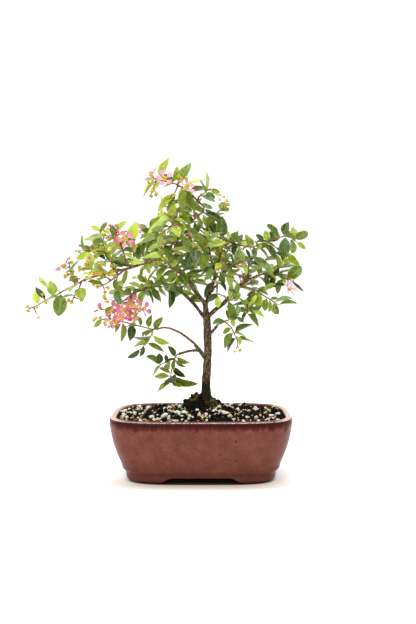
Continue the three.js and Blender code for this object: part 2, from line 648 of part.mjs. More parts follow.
      [[-24, 222, 34], [-30, 229, 44], [-37, 235, 54]],
      [[-24, 222], [-16, 226, 42], [-8, 231, 48]],
    ],
    leaves: [],
    buds: [],
    blooms: [],
  },
  front_top: {
    shoots: [
      [[-29, 300, -16], [-35, 305, -24], [-41, 308, -30]],
      [[-29, 300], [-38, 292, -22], [-47, 285, -27]],
    ],
    leaves: [],
    buds: [[-46, 312]],
    blooms: [],
  },
  back_top: {
    shoots: [[[-11, 317, 27], [-16, 323, 34], [-23, 328, 40]]],
    leaves: [],
    buds: [],
    blooms: [],
  },
  right_back: {
    shoots: [[[45, 222, 30], [53, 226, 40], [61, 229, 49]], [[45, 222], [49, 229, 36], [50, 238, 40]]],
    leaves: [],
    buds: [],
    blooms: [],
  },
  right_front: {
    shoots: [[[36, 208, -17], [41, 211, -26], [46, 213, -34]]],
    leaves: [],
    buds: [],
    blooms: [],
  },
};

// The way that a bloom faces, as a direction
const FACINGS = {
  front: new THREE.Vector3(0.1, -1, 0.25).normalize(),
  left: new THREE.Vector3(-0.65, -0.75, 0.35).normalize(),
  right: new THREE.Vector3(0.6, -0.75, 0.4).normalize(),
  up_left: new THREE.Vector3(-0.75, -0.2, 0.7).normalize(),
};

// Rings round a line, each turned from the one before it without twist.
function ringsRound(line, radii, sides) {
  const side = new THREE.Vector3(1, 0.2, 0.1);
  return line.map((centre, i) => {
    const ahead = line[Math.min(i + 1, line.length - 1)];
    const behind = line[Math.max(i - 1, 0)];
    const tangent = ahead.clone().sub(behind).normalize();
    side.addScaledVector(tangent, -side.dot(tangent)).normalize();
    const other = tangent.clone().cross(side);
    const radius = along(radii, i / (line.length - 1));
    return Array.from({ length: sides }, (unused, k) => {
      const angle = (2 * Math.PI * k) / sides;
      return centre.clone()
        .addScaledVector(side, radius * Math.cos(angle))
        .addScaledVector(other, radius * Math.sin(angle));
    });
  });
}

// Short stretches of a shoot from which something grows. What grows close together shares one.
function cutsFor(line, growths) {
  const cuts = [];
  for (const growth of [...growths].sort((one, other) => one.place - other.place)) {
    const index = Math.min(Math.floor(growth.place), line.length - 2);
    const half = CUT_LENGTH / 2 / line[index].distanceTo(line[index + 1]);
    const last = cuts.at(-1);
    const shares = last !== undefined && last.index === index;
    const lowest = shares ? last.place + 2.6 * half : index + 1.5 * half;
    const highest = index + 1 - 1.5 * half;
    if (shares && (growth.place < lowest || lowest > highest)) {
      growth.cut = last;
    } else {
      const place = THREE.MathUtils.clamp(growth.place, lowest, Math.max(lowest, highest));
      growth.cut = { index, half, place };
      cuts.push(growth.cut);
    }
  }
  return cuts;
}

// The skin of a shoot with all that grows from it. Each growth is a run of three-point rings that ends in a
// tip or a flat end, and is raised from a triangle of the shoot's own skin.
class ShootSkin {
  points = [];
  triangles = [];

  constructor(line, radii, growths) {
    const rings = ringsRound(line, radii, SHOOT_SIDES);
    const levels = rings.map((ring, place) => ({ place, ring, cut: null }));
    for (const cut of cutsFor(line, growths)) {
      for (const place of [cut.place - cut.half, cut.place + cut.half]) {
        const share = place - cut.index;
        const ring = rings[cut.index].map((point, k) => point.clone().lerp(rings[cut.index + 1][k], share));
        levels.push({ place, ring, cut });
      }
    }
    levels.sort((one, other) => one.place - other.place);
    this.points = levels.flatMap(({ ring }) => ring);
    for (let r = 0; r + 1 < levels.length; r++) {
      const cut = levels[r].cut === levels[r + 1].cut ? levels[r].cut : null;
      const below = r * SHOOT_SIDES;
      const above = below + SHOOT_SIDES;
      for (let k = 0; k < SHOOT_SIDES; k++) {
        const next = (k + 1) % SHOOT_SIDES;
        this.triangles.push(this.triangle([below + k, below + next, above + next], cut));
        this.triangles.push(this.triangle([below + k, above + next, above + k], cut));
      }
    }
    const top = this.points.length - SHOOT_SIDES;
    for (let k = 1; k + 1 < SHOOT_SIDES; k++) {
      this.triangles.push(this.triangle([k + 1, k, 0]));
      this.triangles.push(this.triangle([top, top + k, top + k + 1], 'end'));
    }
    this.lastPlace = line.length - 1;
  }

  // A triangle, with the stretch of the shoot that it belongs to
  triangle(corners, cut = null) {
    const places = corners.map((corner) => this.points[corner]);
    return { corners, cut, box: new THREE.Box3().setFromPoints(places) };
  }

  // How much a triangle looks along a direction
  facing(corners, direction) {
    const [a, b, c] = corners.map((corner) => this.points[corner]);
    return b.clone().sub(a).cross(c.clone().sub(a)).normalize().dot(direction);
  }

  // Whether an edge of one triangle goes through the other
  pierces(one, other) {
    return [0, 1, 2].some((i) => {
      const edge = [one.corners[i], one.corners[(i + 1) % 3]];
      if (edge.some((corner) => other.corners.includes(corner))) {
        return false;
      }
      const start = this.points[edge[0]];
      const step = this.points[edge[1]].clone().sub(start);
      const length = step.length();
      const ray = new THREE.Ray(start, step.normalize());
      const hit = ray.intersectTriangle(
        ...other.corners.map((corner) => this.points[corner]), false, new THREE.Vector3(),
      );
      return hit !== null && hit.distanceTo(start) < length;
    });
  }

  // Raises a growth from the triangle at its place that looks its way the most and lets it pass clear of the
  // rest of the skin. A growth that finds none is left out.
  raise({ place, run, loops, cut }) {
    const cuts = place > this.lastPlace - 0.25 ? [cut, 'end'] : [cut];
    this.triangles
      .filter((triangle) => cuts.includes(triangle.cut))
      .filter((triangle) => this.facing(triangle.corners, run) > LEAST_FACING)
      .sort((one, other) => this.facing(other.corners, run) - this.facing(one.corners, run))
      .some((root) => [0, 1, 2].some((turn) => this.raiseFrom(root, turn, loops)));
  }

  // It tells whether the growth found its way from this root.
  raiseFrom(root, turn, loops) {
    const startCount = this.points.length;
    let below = [0, 1, 2].map((i) => root.corners[(i + turn) % 3]);
    const grown = [];
    for (const loop of loops) {
      const above = loop.map((point, i) => this.points.length + i);
      this.points.push(...loop);
      for (let i = 0; i < 3; i++) {
        grown.push(...this.panel(below, above, i));
      }
      below = above;
    }
    if (below.length === 3) {
      grown.push(this.triangle(below));
    }
    const rest = this.triangles.filter((triangle) => triangle !== root);
    const crosses = (one, other) => {
      return one.box.intersectsBox(other.box) && (this.pierces(one, other) || this.pierces(other, one));
    };
    if (grown.some((one, i) => [...rest, ...grown.slice(0, i)].some((other) => crosses(one, other)))) {
      this.points.length = startCount;
      return false;
    }
    this.triangles = [...rest, ...grown];
    return true;
  }

  // The skin between two rings at one of their sides, split along the diagonal that bulges outward
  panel(below, above, i) {
    const next = (i + 1) % 3;
    if (above.length === 1) {
      return [this.triangle([below[i], below[next], above[0]])];
    }
    const flat = [below[i], below[next], above[next]];
    const rise = this.points[above[i]].clone().sub(this.points[below[i]]);
    if (this.facing(flat, rise) > 0) {
      return [
        this.triangle([below[i], below[next], above[i]]),
        this.triangle([below[next], above[next], above[i]]),
      ];
    }
    return [this.triangle(flat), this.triangle([below[i], above[next], above[i]])];
  }

  body() {
    const geometry = new THREE.BufferGeometry().setFromPoints(this.points);
    geometry.setIndex(this.triangles.flatMap(({ corners }) => corners));
    return solid(geometry);
  }
}

// Everything that already has its place: stretches of stem, as lines with a radius, and spots on leaves,
// petals and buds. It tells whether new spots would come too close.
class Crowd {
  stretches = [];
  spots = [];
  leaves = [];

  addLine(line, radii) {
    for (let i = 0; i + 1 < line.length; i++) {
      const radius = along(radii, i / (line.length - 1));
      this.stretches.push({ start: line[i], step: line[i + 1].clone().sub(line[i]), radius });
    }
  }

  isClear(spots) {
    const gap = new THREE.Vector3();
    const nearStretch = ({ start, step, radius }, spot) => {
      gap.subVectors(spot, start);
      const share = THREE.MathUtils.clamp(gap.dot(step) / step.lengthSq(), 0, 1);
      return gap.addScaledVector(step, -share).length() < radius + SHOOT_CLEARANCE;
    };
    return spots.every((spot) => {
      return !this.spots.some((other) => other.distanceTo(spot) < LEAF_CLEARANCE)
        && !this.stretches.some((stretch) => nearStretch(stretch, spot));
    });
  }

  // Two leaves from almost the same point also need to part their ways.
  hasRoomFor(leaf) {
    const meets = (other) => other.base.distanceTo(leaf.base) < 2.5 && other.run.dot(leaf.run) > NECK_ANGLE;
    return !this.leaves.some(meets) && this.isClear(leafSpots(leaf));
  }

  addLeaf(leaf) {
    this.leaves.push(leaf);
    this.spots.push(...leafSpots(leaf));
  }
}

// A leaf is a blade: where its base is, the way it runs, the way its upper face looks, its length and its
// width. Its outline is a list of shares: along the blade, and of its half width.
const SMALL_LEAF_OUTLINE = [[0.36, 0.92], [0.72, 0.8]];
const LARGE_LEAF_OUTLINE = [[0.27, 0.74], [0.52, 1], [0.79, 0.68]];
const SPOT_SHARES = [0.3, 0.44, 0.58, 0.72, 0.86, 1];
const SPOT_SIDES = [-1, -0.5, 0, 0.5, 1];

function bladePoint(blade, share, across, up = 0) {
  const side = new THREE.Vector3().crossVectors(blade.run, blade.face);
  const lift = LEAF_FOLD * Math.abs(across) - LEAF_DROOP * blade.length * share * share + up;
  return blade.base.clone()
    .addScaledVector(blade.run, blade.length * share)
    .addScaledVector(side, across)
    .addScaledVector(blade.face, lift);
}

function leafHalfWidth(share) {
  return Math.sin(Math.PI * Math.min(1, share) ** 0.85) ** 0.8;
}

function leafSpots(leaf) {
  return SPOT_SHARES.flatMap((share) => {
    const half = 0.5 * leaf.width * leafHalfWidth(share);
    return SPOT_SIDES.map((side) => bladePoint(leaf, share, side * half));
  });
}

// Three points round a blade: its two edges and the keel of its rib below.
function bladeRing(blade, share, wide) {
  const keel = bladePoint(blade, share, 0, -LEAF_THICKNESS);
  return [bladePoint(blade, share, wide), keel, bladePoint(blade, share, -wide)];
}

function leafLoops(leaf) {
  const outline = leaf.length > LARGE_LEAF ? LARGE_LEAF_OUTLINE : SMALL_LEAF_OUTLINE;
  const rings = outline.map(([share, wide]) => bladeRing(leaf, share, 0.5 * leaf.width * wide));
  return [...rings, [bladePoint(leaf, 1, 0)]];
}

// The place on a stem's lines that is nearest to a reading, as seen by the eye.
function nearestOnLines(lines, x, z) {
  let best = null;
  let bestDistance = Infinity;
  lines.forEach((line, shoot) => {
    for (let place = 0; place <= line.length - 1; place += 0.125) {
      const point = pointOn(line, place);
      const distance = point.distanceTo(at(x, z, point.y));
      if (distance < bestDistance) {
        best = { shoot, place, point };
        bestDistance = distance;
      }
    }
  });
  return best;
}

function pointOn(line, place) {
  const index = Math.min(Math.floor(place), line.length - 2);
  return line[index].clone().lerp(line[index + 1], place - index);
}

// The part of a vector that is square to a run, as a direction
const across = (vector, run) => vector.clone().addScaledVector(run, -vector.dot(run)).normalize();

// A leaf seen in the outline: its tip's depth and its turn about its own length are free, so they are drawn
// until it is clear of what is there.
function seenLeaf(lines, [x0, z0, x1, z1, seenWidth], crowd, key) {
  const nearest = nearestOnLines(lines, x0, z0);
  const line = lines[nearest.shoot];
  for (let attempt = 0; attempt < SEEN_TRIES; attempt++) {
    const shift = attempt < 6 ? 0 : 0.5 * (draw(key, attempt, 12) - 0.5);
    const place = THREE.MathUtils.clamp(nearest.place + shift, FIRST_PLACE, line.length - 1);
    const base = pointOn(line, place);
    const swing = (2 * draw(key, attempt, 1) - 1) * Math.min(0.3 + 0.05 * attempt, 0.9);
    const seenLength = Math.hypot(x1 - x0, z1 - z0);
    const tip = at(x1, z1, base.y + swing * seenLength);
    const run = tip.sub(base);
    const length = run.length();
    run.normalize();
    const width = Math.max(seenWidth, LEAF_ASPECT * length);
    const toEye = across(EYE.clone().sub(base), run);
    const turn = Math.acos(Math.min(1, seenWidth / width)) * (attempt % 2 ? -1 : 1);
    const face = toEye.applyAxisAngle(run, turn);
    if (face.dot(UP) < 0 && draw(key, attempt, 2) < 0.6) {
      face.applyAxisAngle(run, -2 * turn);
    }
    const leaf = { base, run, face, length, width };
    if (crowd.hasRoomFor(leaf)) {
      return { ...leaf, shoot: nearest.shoot, place };
    }
  }
  return null;
}

// A leaf of an opposite pair: pairs turn by a quarter from one to the next. A leaf leans out from its shoot and
// turns its upper face up and away from the middle of the crown.
function pairedLeaf(base, tangent, turn, crowd, key) {
  const sideways = across(Math.abs(tangent.z) > 0.9 ? new THREE.Vector3(1, 0, 0) : UP, tangent);
  for (let attempt = 0; attempt < PAIRED_TRIES; attempt++) {
    const angle = turn + (draw(key, attempt, 3) - 0.5) * (0.8 + 0.3 * attempt);
    const lean = mix(0.6, 1.25, draw(key, attempt, 4));
    const out = sideways.clone().applyAxisAngle(tangent, angle);
    const run = tangent.clone().multiplyScalar(Math.cos(lean)).addScaledVector(out, Math.sin(lean));
    const length = mix(...LEAF_LENGTH, draw(key, attempt, 5));
    const width = length * LEAF_ASPECT * mix(0.85, 1.2, draw(key, attempt, 6));
    const outward = base.clone().sub(CROWN_CENTRE).setZ(0).normalize();
    const look = UP.clone().multiplyScalar(0.9).addScaledVector(outward, 0.7);
    look.x += draw(key, attempt, 7) - 0.5;
    look.y += draw(key, attempt, 8) - 0.5;
    const leaf = { base, run, face: across(look, run), length, width };
    if (crowd.hasRoomFor(leaf)) {
      return leaf;
    }
  }
  return null;
}

// Three-point rings round a straight stalk, each given as how far on it is and its radius.
function stalkLoops(start, run, steps) {
  const side = across(new THREE.Vector3(0.3, 0.2, 1), run);
  return steps.map(([advance, radius]) => [0, 1, 2].map((i) => start.clone()
    .addScaledVector(run, advance)
    .addScaledVector(side.clone().applyAxisAngle(run, (2 * Math.PI * i) / 3), radius)));
}

// A bloom is one star-shaped skin: five spoon-shaped petals with a rounded limb and a narrow claw, round a
// raised middle of stamens. A petal's outline is a list of turns, as a share of its sector, and reaches.
const PETAL_OUTLINE = [[-0.5, 0.2], [-0.3, 0.82], [0, 1.02], [0.3, 0.82]];

function bloomBody(centre, facing, key) {
  const side = across(new THREE.Vector3(0.2, 0.1, 1), facing);
  const spin = draw(key, 9);
  const outline = Array.from({ length: PETALS }, (unused, i) => {
    const cup = mix(0.1, 0.45, draw(key, i, 10));
    return PETAL_OUTLINE.map(([turn, reach]) => {
      const out = side.clone().applyAxisAngle(facing, (2 * Math.PI * (i + turn + spin)) / PETALS);
      return { out, reach: BLOOM_RADIUS * reach, rise: 1 + cup * BLOOM_RADIUS * reach * reach };
    });
  }).flat();
  const ring = (lift) => outline.map(({ out, reach, rise }) => centre.clone()
    .addScaledVector(out, reach)
    .addScaledVector(facing, rise + lift));
  const top = centre.clone().addScaledVector(facing, STAMEN_HEIGHT);
  return solid(skin([[centre], ring(0), ring(PETAL_THICKNESS), [top]]));
}

function bloomSpots(centre, facing) {
  const side = across(new THREE.Vector3(0.2, 0.1, 1), facing);
  const spots = [centre.clone().addScaledVector(facing, 2)];
  for (const radius of [3, 6, 9]) {
    for (let i = 0; i < 12; i++) {
      const out = side.clone().applyAxisAngle(facing, (Math.PI * i) / 6);
      spots.push(centre.clone().addScaledVector(out, radius).addScaledVector(facing, 1 + 0.3 * radius));
    }
  }
  return spots;
}

// The tree

const crowd = new Crowd();
const nodes = [];

function addNode(name, body, colour, roughness, metalness = 0) {
  const material = new THREE.MeshStandardMaterial({ color: colour, roughness, metalness });
  const mesh = new THREE.Mesh(toGeometry(body), material);
  mesh.name = name;
  nodes.push(mesh);
}

const GLAZE = '#85514a';
const SOIL = '#26211e';
const BARK = '#6b4f3a';
const LEAF = '#5f7f33';
const PETAL = '#f48ac4';
const PLASTIC = '#1d1f1e';

addNode('pot', potBody(), GLAZE, 0.35);
addNode('drain_screen_left', screenBody(-DRAIN_SPACING / 2), PLASTIC, 0.6);
addNode('drain_screen_right', screenBody(DRAIN_SPACING / 2), PLASTIC, 0.6);
addNode('soil', soilBody(), SOIL, 0.95);

const woodPieces = [];
const ends = {};
for (const [name, { route, radii }] of Object.entries({ trunk: TRUNK, ...BRANCHES })) {
  const line = route.map(([x, z, y]) => at(x, z, y));
  const sides = name === 'trunk' ? TRUNK_SIDES : radii[0] < SPUR_RADIUS ? SPUR_SIDES : WOOD_SIDES;
  woodPieces.push(solid(skin(ringsRound(line, radii, sides))));
  crowd.addLine(line, radii);
  const end = line.at(-1);
  ends[name] = { end, direction: end.clone().sub(line.at(-2)).normalize() };
}
addNode('trunk_and_branches', fuse(woodPieces), BARK, 0.85);

// Shoots first, then blooms and buds, then the leaves of the outline, then the paired leaves of every stem.
const stems = Object.entries(SPRAYS).map(([name, spray], number) => {
  const lines = [];
  spray.shoots.forEach((route, shoot) => {
    const points = route.slice(shoot === 0 ? 0 : 1).map(([x, z, y]) => at(x, z, y));
    if (shoot === 0) {
      const { end, direction } = ends[name];
      const seat = [SEAT_GAP, SEAT_LENGTH].map((step) => end.clone().addScaledVector(direction, step));
      points.unshift(...seat);
    } else {
      points.unshift(nearestOnLines(lines, route[0][0], route[0][1]).point);
    }
    lines.push(points);
    crowd.addLine(points, shoot === 0 ? SHOOT_RADII : SIDE_SHOOT_RADII);
  });
  return { name, number, spray, lines, growths: lines.map(() => []) };
});

for (const { name, number, spray, lines, growths } of stems) {
  spray.blooms.forEach(([x, z, front, facingName], i) => {
    const { shoot, place, point } = nearestOnLines(lines, x, z);
    const facing = FACINGS[facingName];
    const centre = at(x, z, point.y - front);
    const bend = centre.clone().addScaledVector(facing, -BLOOM_NECK);
    const run = bend.clone().sub(point).normalize();
    const loops = [
      ...stalkLoops(bend, run.clone().lerp(facing, 0.5).normalize(), [[0, STALK_RADIUS]]),
      ...stalkLoops(centre, facing, [[-SEAT_GAP, CALYX_RADIUS]]),
    ];
    growths[shoot].push({ place: Math.max(place, FIRST_PLACE), run, loops });
    addNode(`bloom_${name}_${i + 1}`, bloomBody(centre, facing, 40 * number + i), PETAL, 0.5);
    crowd.spots.push(...bloomSpots(centre, facing));
  });
  spray.buds.forEach(([x, z], i) => {
    const { shoot, place, point } = nearestOnLines(lines, x, z);
    const middle = at(x, z, point.y + BUD_DEPTH * (2 * draw(number, i, 11) - 1));
    const run = middle.clone().sub(point).normalize();
    const neck = -BUD_WIDEST * BUD_LENGTH;
    const loops = stalkLoops(middle, run, [[neck, STALK_RADIUS], [0, BUD_RADIUS]]);
    const tip = middle.clone().addScaledVector(run, (1 - BUD_WIDEST) * BUD_LENGTH);
    growths[shoot].push({ place: Math.max(place, FIRST_PLACE), run, loops: [...loops, [tip]] });
    crowd.spots.push(middle, tip);
  });
}

for (const { number, spray, lines, growths } of stems) {
  spray.leaves.forEach((reading, i) => {
    const leaf = seenLeaf(lines, reading, crowd, SEEN_KEYS * number + i);
    if (leaf) {
      growths[leaf.shoot].push({ place: leaf.place, run: leaf.run, loops: leafLoops(leaf) });
      crowd.addLeaf(leaf);
    }
  });
}

for (const { number, spray, lines, growths } of stems) {
  lines.forEach((line, shoot) => {
    const length = line.slice(1).reduce((sum, point, i) => sum + point.distanceTo(line[i]), 0);
    const pairs = Math.max(1, Math.round(length / (spray.open ? OPEN_PAIR_SPACING : PAIR_SPACING)));
    for (let pair = 0; pair < pairs; pair++) {
      const place = Math.max(FIRST_PLACE, ((pair + 0.7) / (pairs + 0.1)) * (line.length - 1));
      const tangent = pointOn(line, place + 0.1).sub(pointOn(line, place - 0.1)).normalize();
      for (const side of [0, 1]) {
        const turn = Math.PI * (side + 0.5 * (pair % 2) + 0.25);
        const key = FIRST_PAIRED_KEY + SHOOT_KEYS * (10 * number + shoot) + 2 * pair + side;
        const leaf = pairedLeaf(pointOn(line, place), tangent, turn, crowd, key);
        if (leaf) {
          growths[shoot].push({ place, run: leaf.run, loops: leafLoops(leaf) });
          crowd.addLeaf(leaf);
        }
      }
    }
  });
}

for (const { name, lines, growths } of stems) {
  const bodies = lines.map((line, shoot) => {
    const skin = new ShootSkin(line, shoot === 0 ? SHOOT_RADII : SIDE_SHOOT_RADII, growths[shoot]);
    growths[shoot].forEach((growth) => skin.raise(growth));
    return skin.body();
  });
  addNode(`leafy_stem_${name}`, fuse(bodies), LEAF, 0.45);
}

const tree = new THREE.Group();
tree.add(...nodes);
const box = new THREE.Box3().setFromObject(tree);
const middle = box.getCenter(new THREE.Vector3());
tree.position.set(-middle.x, -middle.y, -box.min.z);

export default tree;
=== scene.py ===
"""A barbados cherry bonsai in a glazed pot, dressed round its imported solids.

Shapes are worked out in millimetres in the frame of the solids (x right, y away from the viewer, z up,
the table at z = 0) and put into Blender in metres.
"""

import logging
import math
from dataclasses import dataclass, field, fields
from enum import Enum
from typing import Optional, Sequence, Union

import bmesh
import bpy
import numpy as np
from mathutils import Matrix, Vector


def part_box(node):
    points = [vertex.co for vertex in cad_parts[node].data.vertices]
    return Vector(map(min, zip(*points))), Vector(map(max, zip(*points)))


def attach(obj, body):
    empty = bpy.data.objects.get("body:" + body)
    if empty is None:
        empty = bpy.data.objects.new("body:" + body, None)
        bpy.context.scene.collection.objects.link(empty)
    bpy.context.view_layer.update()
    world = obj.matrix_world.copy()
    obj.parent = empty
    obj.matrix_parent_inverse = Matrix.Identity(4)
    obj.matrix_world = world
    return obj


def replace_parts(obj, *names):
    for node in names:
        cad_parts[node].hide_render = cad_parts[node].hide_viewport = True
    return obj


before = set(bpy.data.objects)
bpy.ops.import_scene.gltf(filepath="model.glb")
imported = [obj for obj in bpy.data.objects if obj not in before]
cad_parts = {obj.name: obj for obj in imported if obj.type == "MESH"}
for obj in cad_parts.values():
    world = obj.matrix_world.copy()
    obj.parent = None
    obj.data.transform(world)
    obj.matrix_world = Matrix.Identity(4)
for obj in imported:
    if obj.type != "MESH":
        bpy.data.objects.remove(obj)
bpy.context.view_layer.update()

MM = 0.001
# Where the camera stands, and where the first point round a bead or a stalk, and round a flower, leans to.
EYE = np.array([49.3, -1021.0, 245.0])
ASIDE = (0.31, 0.22, 0.93)
UPWARD = (0.2, 0.1, 1.0)
LOG = logging.getLogger("bonsai")

Array = np.ndarray
Material = bpy.types.Material
Rows = tuple[tuple[float, ...], ...]
Stops = Sequence[tuple[float, str]]
Socket = Union[float, str, tuple, "Output"]


class Slot(Enum):
    """The record's material slots that a piece can take its finish from."""

    GLAZE = "glaze"
    SOIL = "soil"
    BARK = "bark"
    LEAF = "leaf"
    PETAL = "petal"


# Numbers and directions


def linear(colour: str) -> tuple[float, float, float, float]:
    """Turns an sRGB hex colour into linear light.

    Args:
        colour: The colour as "#rrggbb".

    Returns:
        Red, green, blue and an alpha of 1.
    """
    parts = [int(colour[i:i + 2], 16) / 255 for i in (1, 3, 5)]
    light = [part / 12.92 if part <= 0.04045 else ((part + 0.055) / 1.055) ** 2.4 for part in parts]
    return (light[0], light[1], light[2], 1.0)


def unit(vectors: Array) -> Array:
    """Vectors scaled to a length of 1, along the last axis."""
    return vectors / np.maximum(np.linalg.norm(vectors, axis=-1, keepdims=True), 1e-9)


def square_to(vectors: Array, axis: Array) -> Array:
    """The part of each vector that is square to its axis, as a direction."""
    return unit(vectors - (vectors * axis).sum(-1, keepdims=True) * axis)


def turns(count: int) -> Array:
    """Angles of even steps round a full turn."""
    return 2 * np.pi * np.arange(count) / count


def rays(axes: Array, lean: Sequence[float], angles: Array) -> Array:
    """Directions round axes.

    Args:
        axes: The axes, as (..., 3).
        lean: Where the direction at an angle of 0 leans to.
        angles: How far each direction is turned.

    Returns:
        The directions as (..., angles, 3), each square to its axis.
    """
    first = square_to(np.broadcast_to(lean, axes.shape), axes)
    second = np.cross(axes, first)
    return first[..., None, :] * np.cos(angles)[:, None] + second[..., None, :] * np.sin(angles)[:, None]


def gaps(first: Array, second: Array) -> Array:
    """How far each point of one array is from each point of another, which becomes the last axis."""
    return np.linalg.norm(first[..., None, :] - second, axis=-1)


def as_seen(points: Array) -> Array:
    """Where the lines of sight from the camera to points meet the plane y = 0, as rows of x and z."""
    share = EYE[1] / (EYE[1] - points[..., 1])
    return EYE[[0, 2]] + (points[..., [0, 2]] - EYE[[0, 2]]) * share[..., None]


def in_sight(spots: Array, depth: Array) -> Array:
    """The points at a depth y that the camera sees at spots of the plane y = 0."""
    flat = EYE[[0, 2]] + (spots - EYE[[0, 2]]) * ((depth - EYE[1]) / -EYE[1])[:, None]
    return np.stack([flat[:, 0], depth, flat[:, 1]], axis=1)


def bumps(points: Array, size: float, seed: int) -> Array:
    """Smooth bumps: random heights on a cubic lattice, blended between its corners by 3t² - 2t³.

    Args:
        points: Where to read them, in millimetres, as rows of x, y, z.
        size: The lattice's spacing in millimetres.
        seed: A whole number that changes the heights.

    Returns:
        A height from -1 to 1 for each point.
    """
    cell = points / size
    low = np.floor(cell).astype(np.int64)
    share = cell - low
    share = share * share * (3 - 2 * share)
    height = np.zeros(len(points))
    for corner in np.ndindex(2, 2, 2):
        at = low + np.array(corner)
        code = at[:, 0] * 73856093 ^ at[:, 1] * 19349663 ^ at[:, 2] * 83492791 ^ (seed + 1) * 2654435761
        code = (code ^ code >> 13) * 1274126177
        drawn = ((code ^ code >> 16) & 0xFFFFFF) / 0xFFFFFF
        height += drawn * np.prod(np.where(corner, share, 1 - share), axis=1)
    return 2 * height - 1


# Skins: whole arrays of points and faces


@dataclass
class Skin:
    """A closed surface: points in millimetres, faces as rows of point numbers, and marks for its material."""

    points: Array
    faces: list[Array]
    marks: dict[str, Array] = field(default_factory=dict)

    @classmethod
    def joined(cls, skins: Sequence["Skin"]) -> "Skin":
        """Puts skins with the same marks into one."""
        starts = np.cumsum([0] + [len(skin.points) for skin in skins])
        faces = [rows + start for skin, start in zip(skins, starts) for rows in skin.faces]
        marks = {name: np.concatenate([skin.marks[name] for skin in skins]) for name in skins[0].marks}
        return cls(np.concatenate([skin.points for skin in skins]), faces, marks)

    def marked(self, kind: Enum) -> "Skin":
        """The skin, with its kind as a mark."""
        self.marks["kind"] = np.full(len(self.points), kind.value)
        return self

    def mesh(self, name: str) -> bpy.types.Mesh:
        """The skin as a Blender mesh in metres, with its marks as attributes of its points."""
        made = bpy.data.meshes.new(name)
        rows = [row for block in self.faces for row in block.tolist()]
        made.from_pydata((self.points * MM).tolist(), [], rows)
        for mark, values in self.marks.items():
            kind, part = ("FLOAT", "value") if values.ndim == 1 else ("FLOAT_VECTOR", "vector")
            layer = made.attributes.new(mark, kind, "POINT")
            layer.data.foreach_set(part, values.ravel().astype(np.float32))
        return made

    def piece(self, name: str, material: Material, slot: Slot, crease: float = 48) -> bpy.types.Object:
        """Makes a piece of the object from the skin, as dressed does."""
        return dressed(name, self.mesh(name), material, crease)


def put(name: str, data: bpy.types.ID) -> bpy.types.Object:
    """A new object in the scene, at the origin."""
    made = bpy.data.objects.new(name, data)
    bpy.context.scene.collection.objects.link(made)
    return made


def dressed(
    name: str, mesh: bpy.types.Mesh, material: Material, crease: float = 80
) -> bpy.types.Object:
    """Makes a piece of the object from a mesh.

    Args:
        name: The piece's name.
        mesh: Its mesh, in metres.
        material: Its material.
        crease: Edges sharper than this many degrees stay sharp; the rest is shaded smooth.

    Returns:
        The piece, riding on the root body.
    """
    made = put(name, mesh)
    mesh.materials.clear()
    mesh.materials.append(material)
    mesh.shade_smooth()
    mesh.set_sharp_from_angle(angle=math.radians(crease))
    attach(made, "root")
    LOG.info("%s: %d faces", name, len(mesh.polygons))
    return made


def ring_faces(rings: int, around: int) -> list[Array]:
    """Faces of a closed skin whose points are one pole, rings of points, and another pole.

    Args:
        rings: How many rings there are.
        around: How many points a ring has, going round the run by the right-hand rule.

    Returns:
        Quads between the rings, and triangles to each pole.
    """
    start = 1 + around * np.arange(rings)[:, None]
    here = start + np.arange(around)
    after = start + np.roll(np.arange(around), -1)
    quads = np.stack([here[:-1], after[:-1], after[1:], here[1:]], axis=-1).reshape(-1, 4)
    first = np.stack([np.zeros(around, int), after[0], here[0]], axis=-1)
    last = np.stack([here[-1], after[-1], np.full(around, 1 + around * rings)], axis=-1)
    return [quads, first, last]


def repeated(faces: Sequence[Array], points: int, count: int) -> list[Array]:
    """The faces of one skin of so many points, repeated for a number of skins that follow one another."""
    starts = points * np.arange(count)[:, None, None]
    return [(rows[None] + starts).reshape(-1, rows.shape[1]) for rows in faces]


def carried(rings: Array, first: Array, last: Array) -> Skin:
    """Closed skins, each a run of rings between two poles.

    Args:
        rings: Points as (skins, rings, points round, 3).
        first: The pole before the first ring of each skin.
        last: The pole after its last ring.

    Returns:
        All of them as one skin.
    """
    count, stations, around = rings.shape[:3]
    body = rings.reshape(count, stations * around, 3)
    points = np.concatenate([first[:, None], body, last[:, None]], axis=1)
    return Skin(points.reshape(-1, 3), repeated(ring_faces(stations, around), points.shape[1], count))


def laid(base: Array, ways: Sequence[Array], steps: Sequence[Array]) -> Array:
    """Points that lie some steps off bases: base + way · step for each way.

    Args:
        base: One base per row.
        ways: Directions, one per row.
        steps: How far to go along each way, as (rows, rings, points round).

    Returns:
        The points as (rows, rings, points round, 3).
    """
    points = base[:, None, None]
    for way, step in zip(ways, steps):
        points = points + way[:, None, None] * step[..., None]
    return points


def blade_marks(section: Array, share: Array, tone: Array) -> Array:
    """The mark of each point of blades that carried makes.

    Args:
        section: How far across each point of a ring is, from -1 to 1.
        share: How far along each ring is, from 0 to 1.
        tone: The tone of each blade.

    Returns:
        Rows of across, along and tone.
    """
    across = np.pad(np.tile(section, len(share)), 1)
    along = np.concatenate([[0.0], np.repeat(share, len(section)), [1.0]])
    rows = np.tile(np.stack([across, along], axis=1), (len(tone), 1))
    return np.column_stack([rows, np.repeat(tone, len(along))])


def beads(centres: Array, axes: Array, profile: Rows, around: int) -> Skin:
    """Round beads: a profile turned about each axis.

    Args:
        centres: Where the beads are.
        axes: The direction of each.
        profile: Pairs of advance along the axis and radius; the first and the last pair are the poles.
        around: How many points go round.

    Returns:
        The beads as one skin.
    """
    steps = np.array(profile[1:-1])[:, None, None]
    round_way = rays(axes, ASIDE, turns(around))[:, None]
    rings = centres[:, None, None] + axes[:, None, None] * steps[..., 0] + round_way * steps[..., 1]
    return carried(rings, centres + axes * profile[0][0], centres + axes * profile[-1][0])


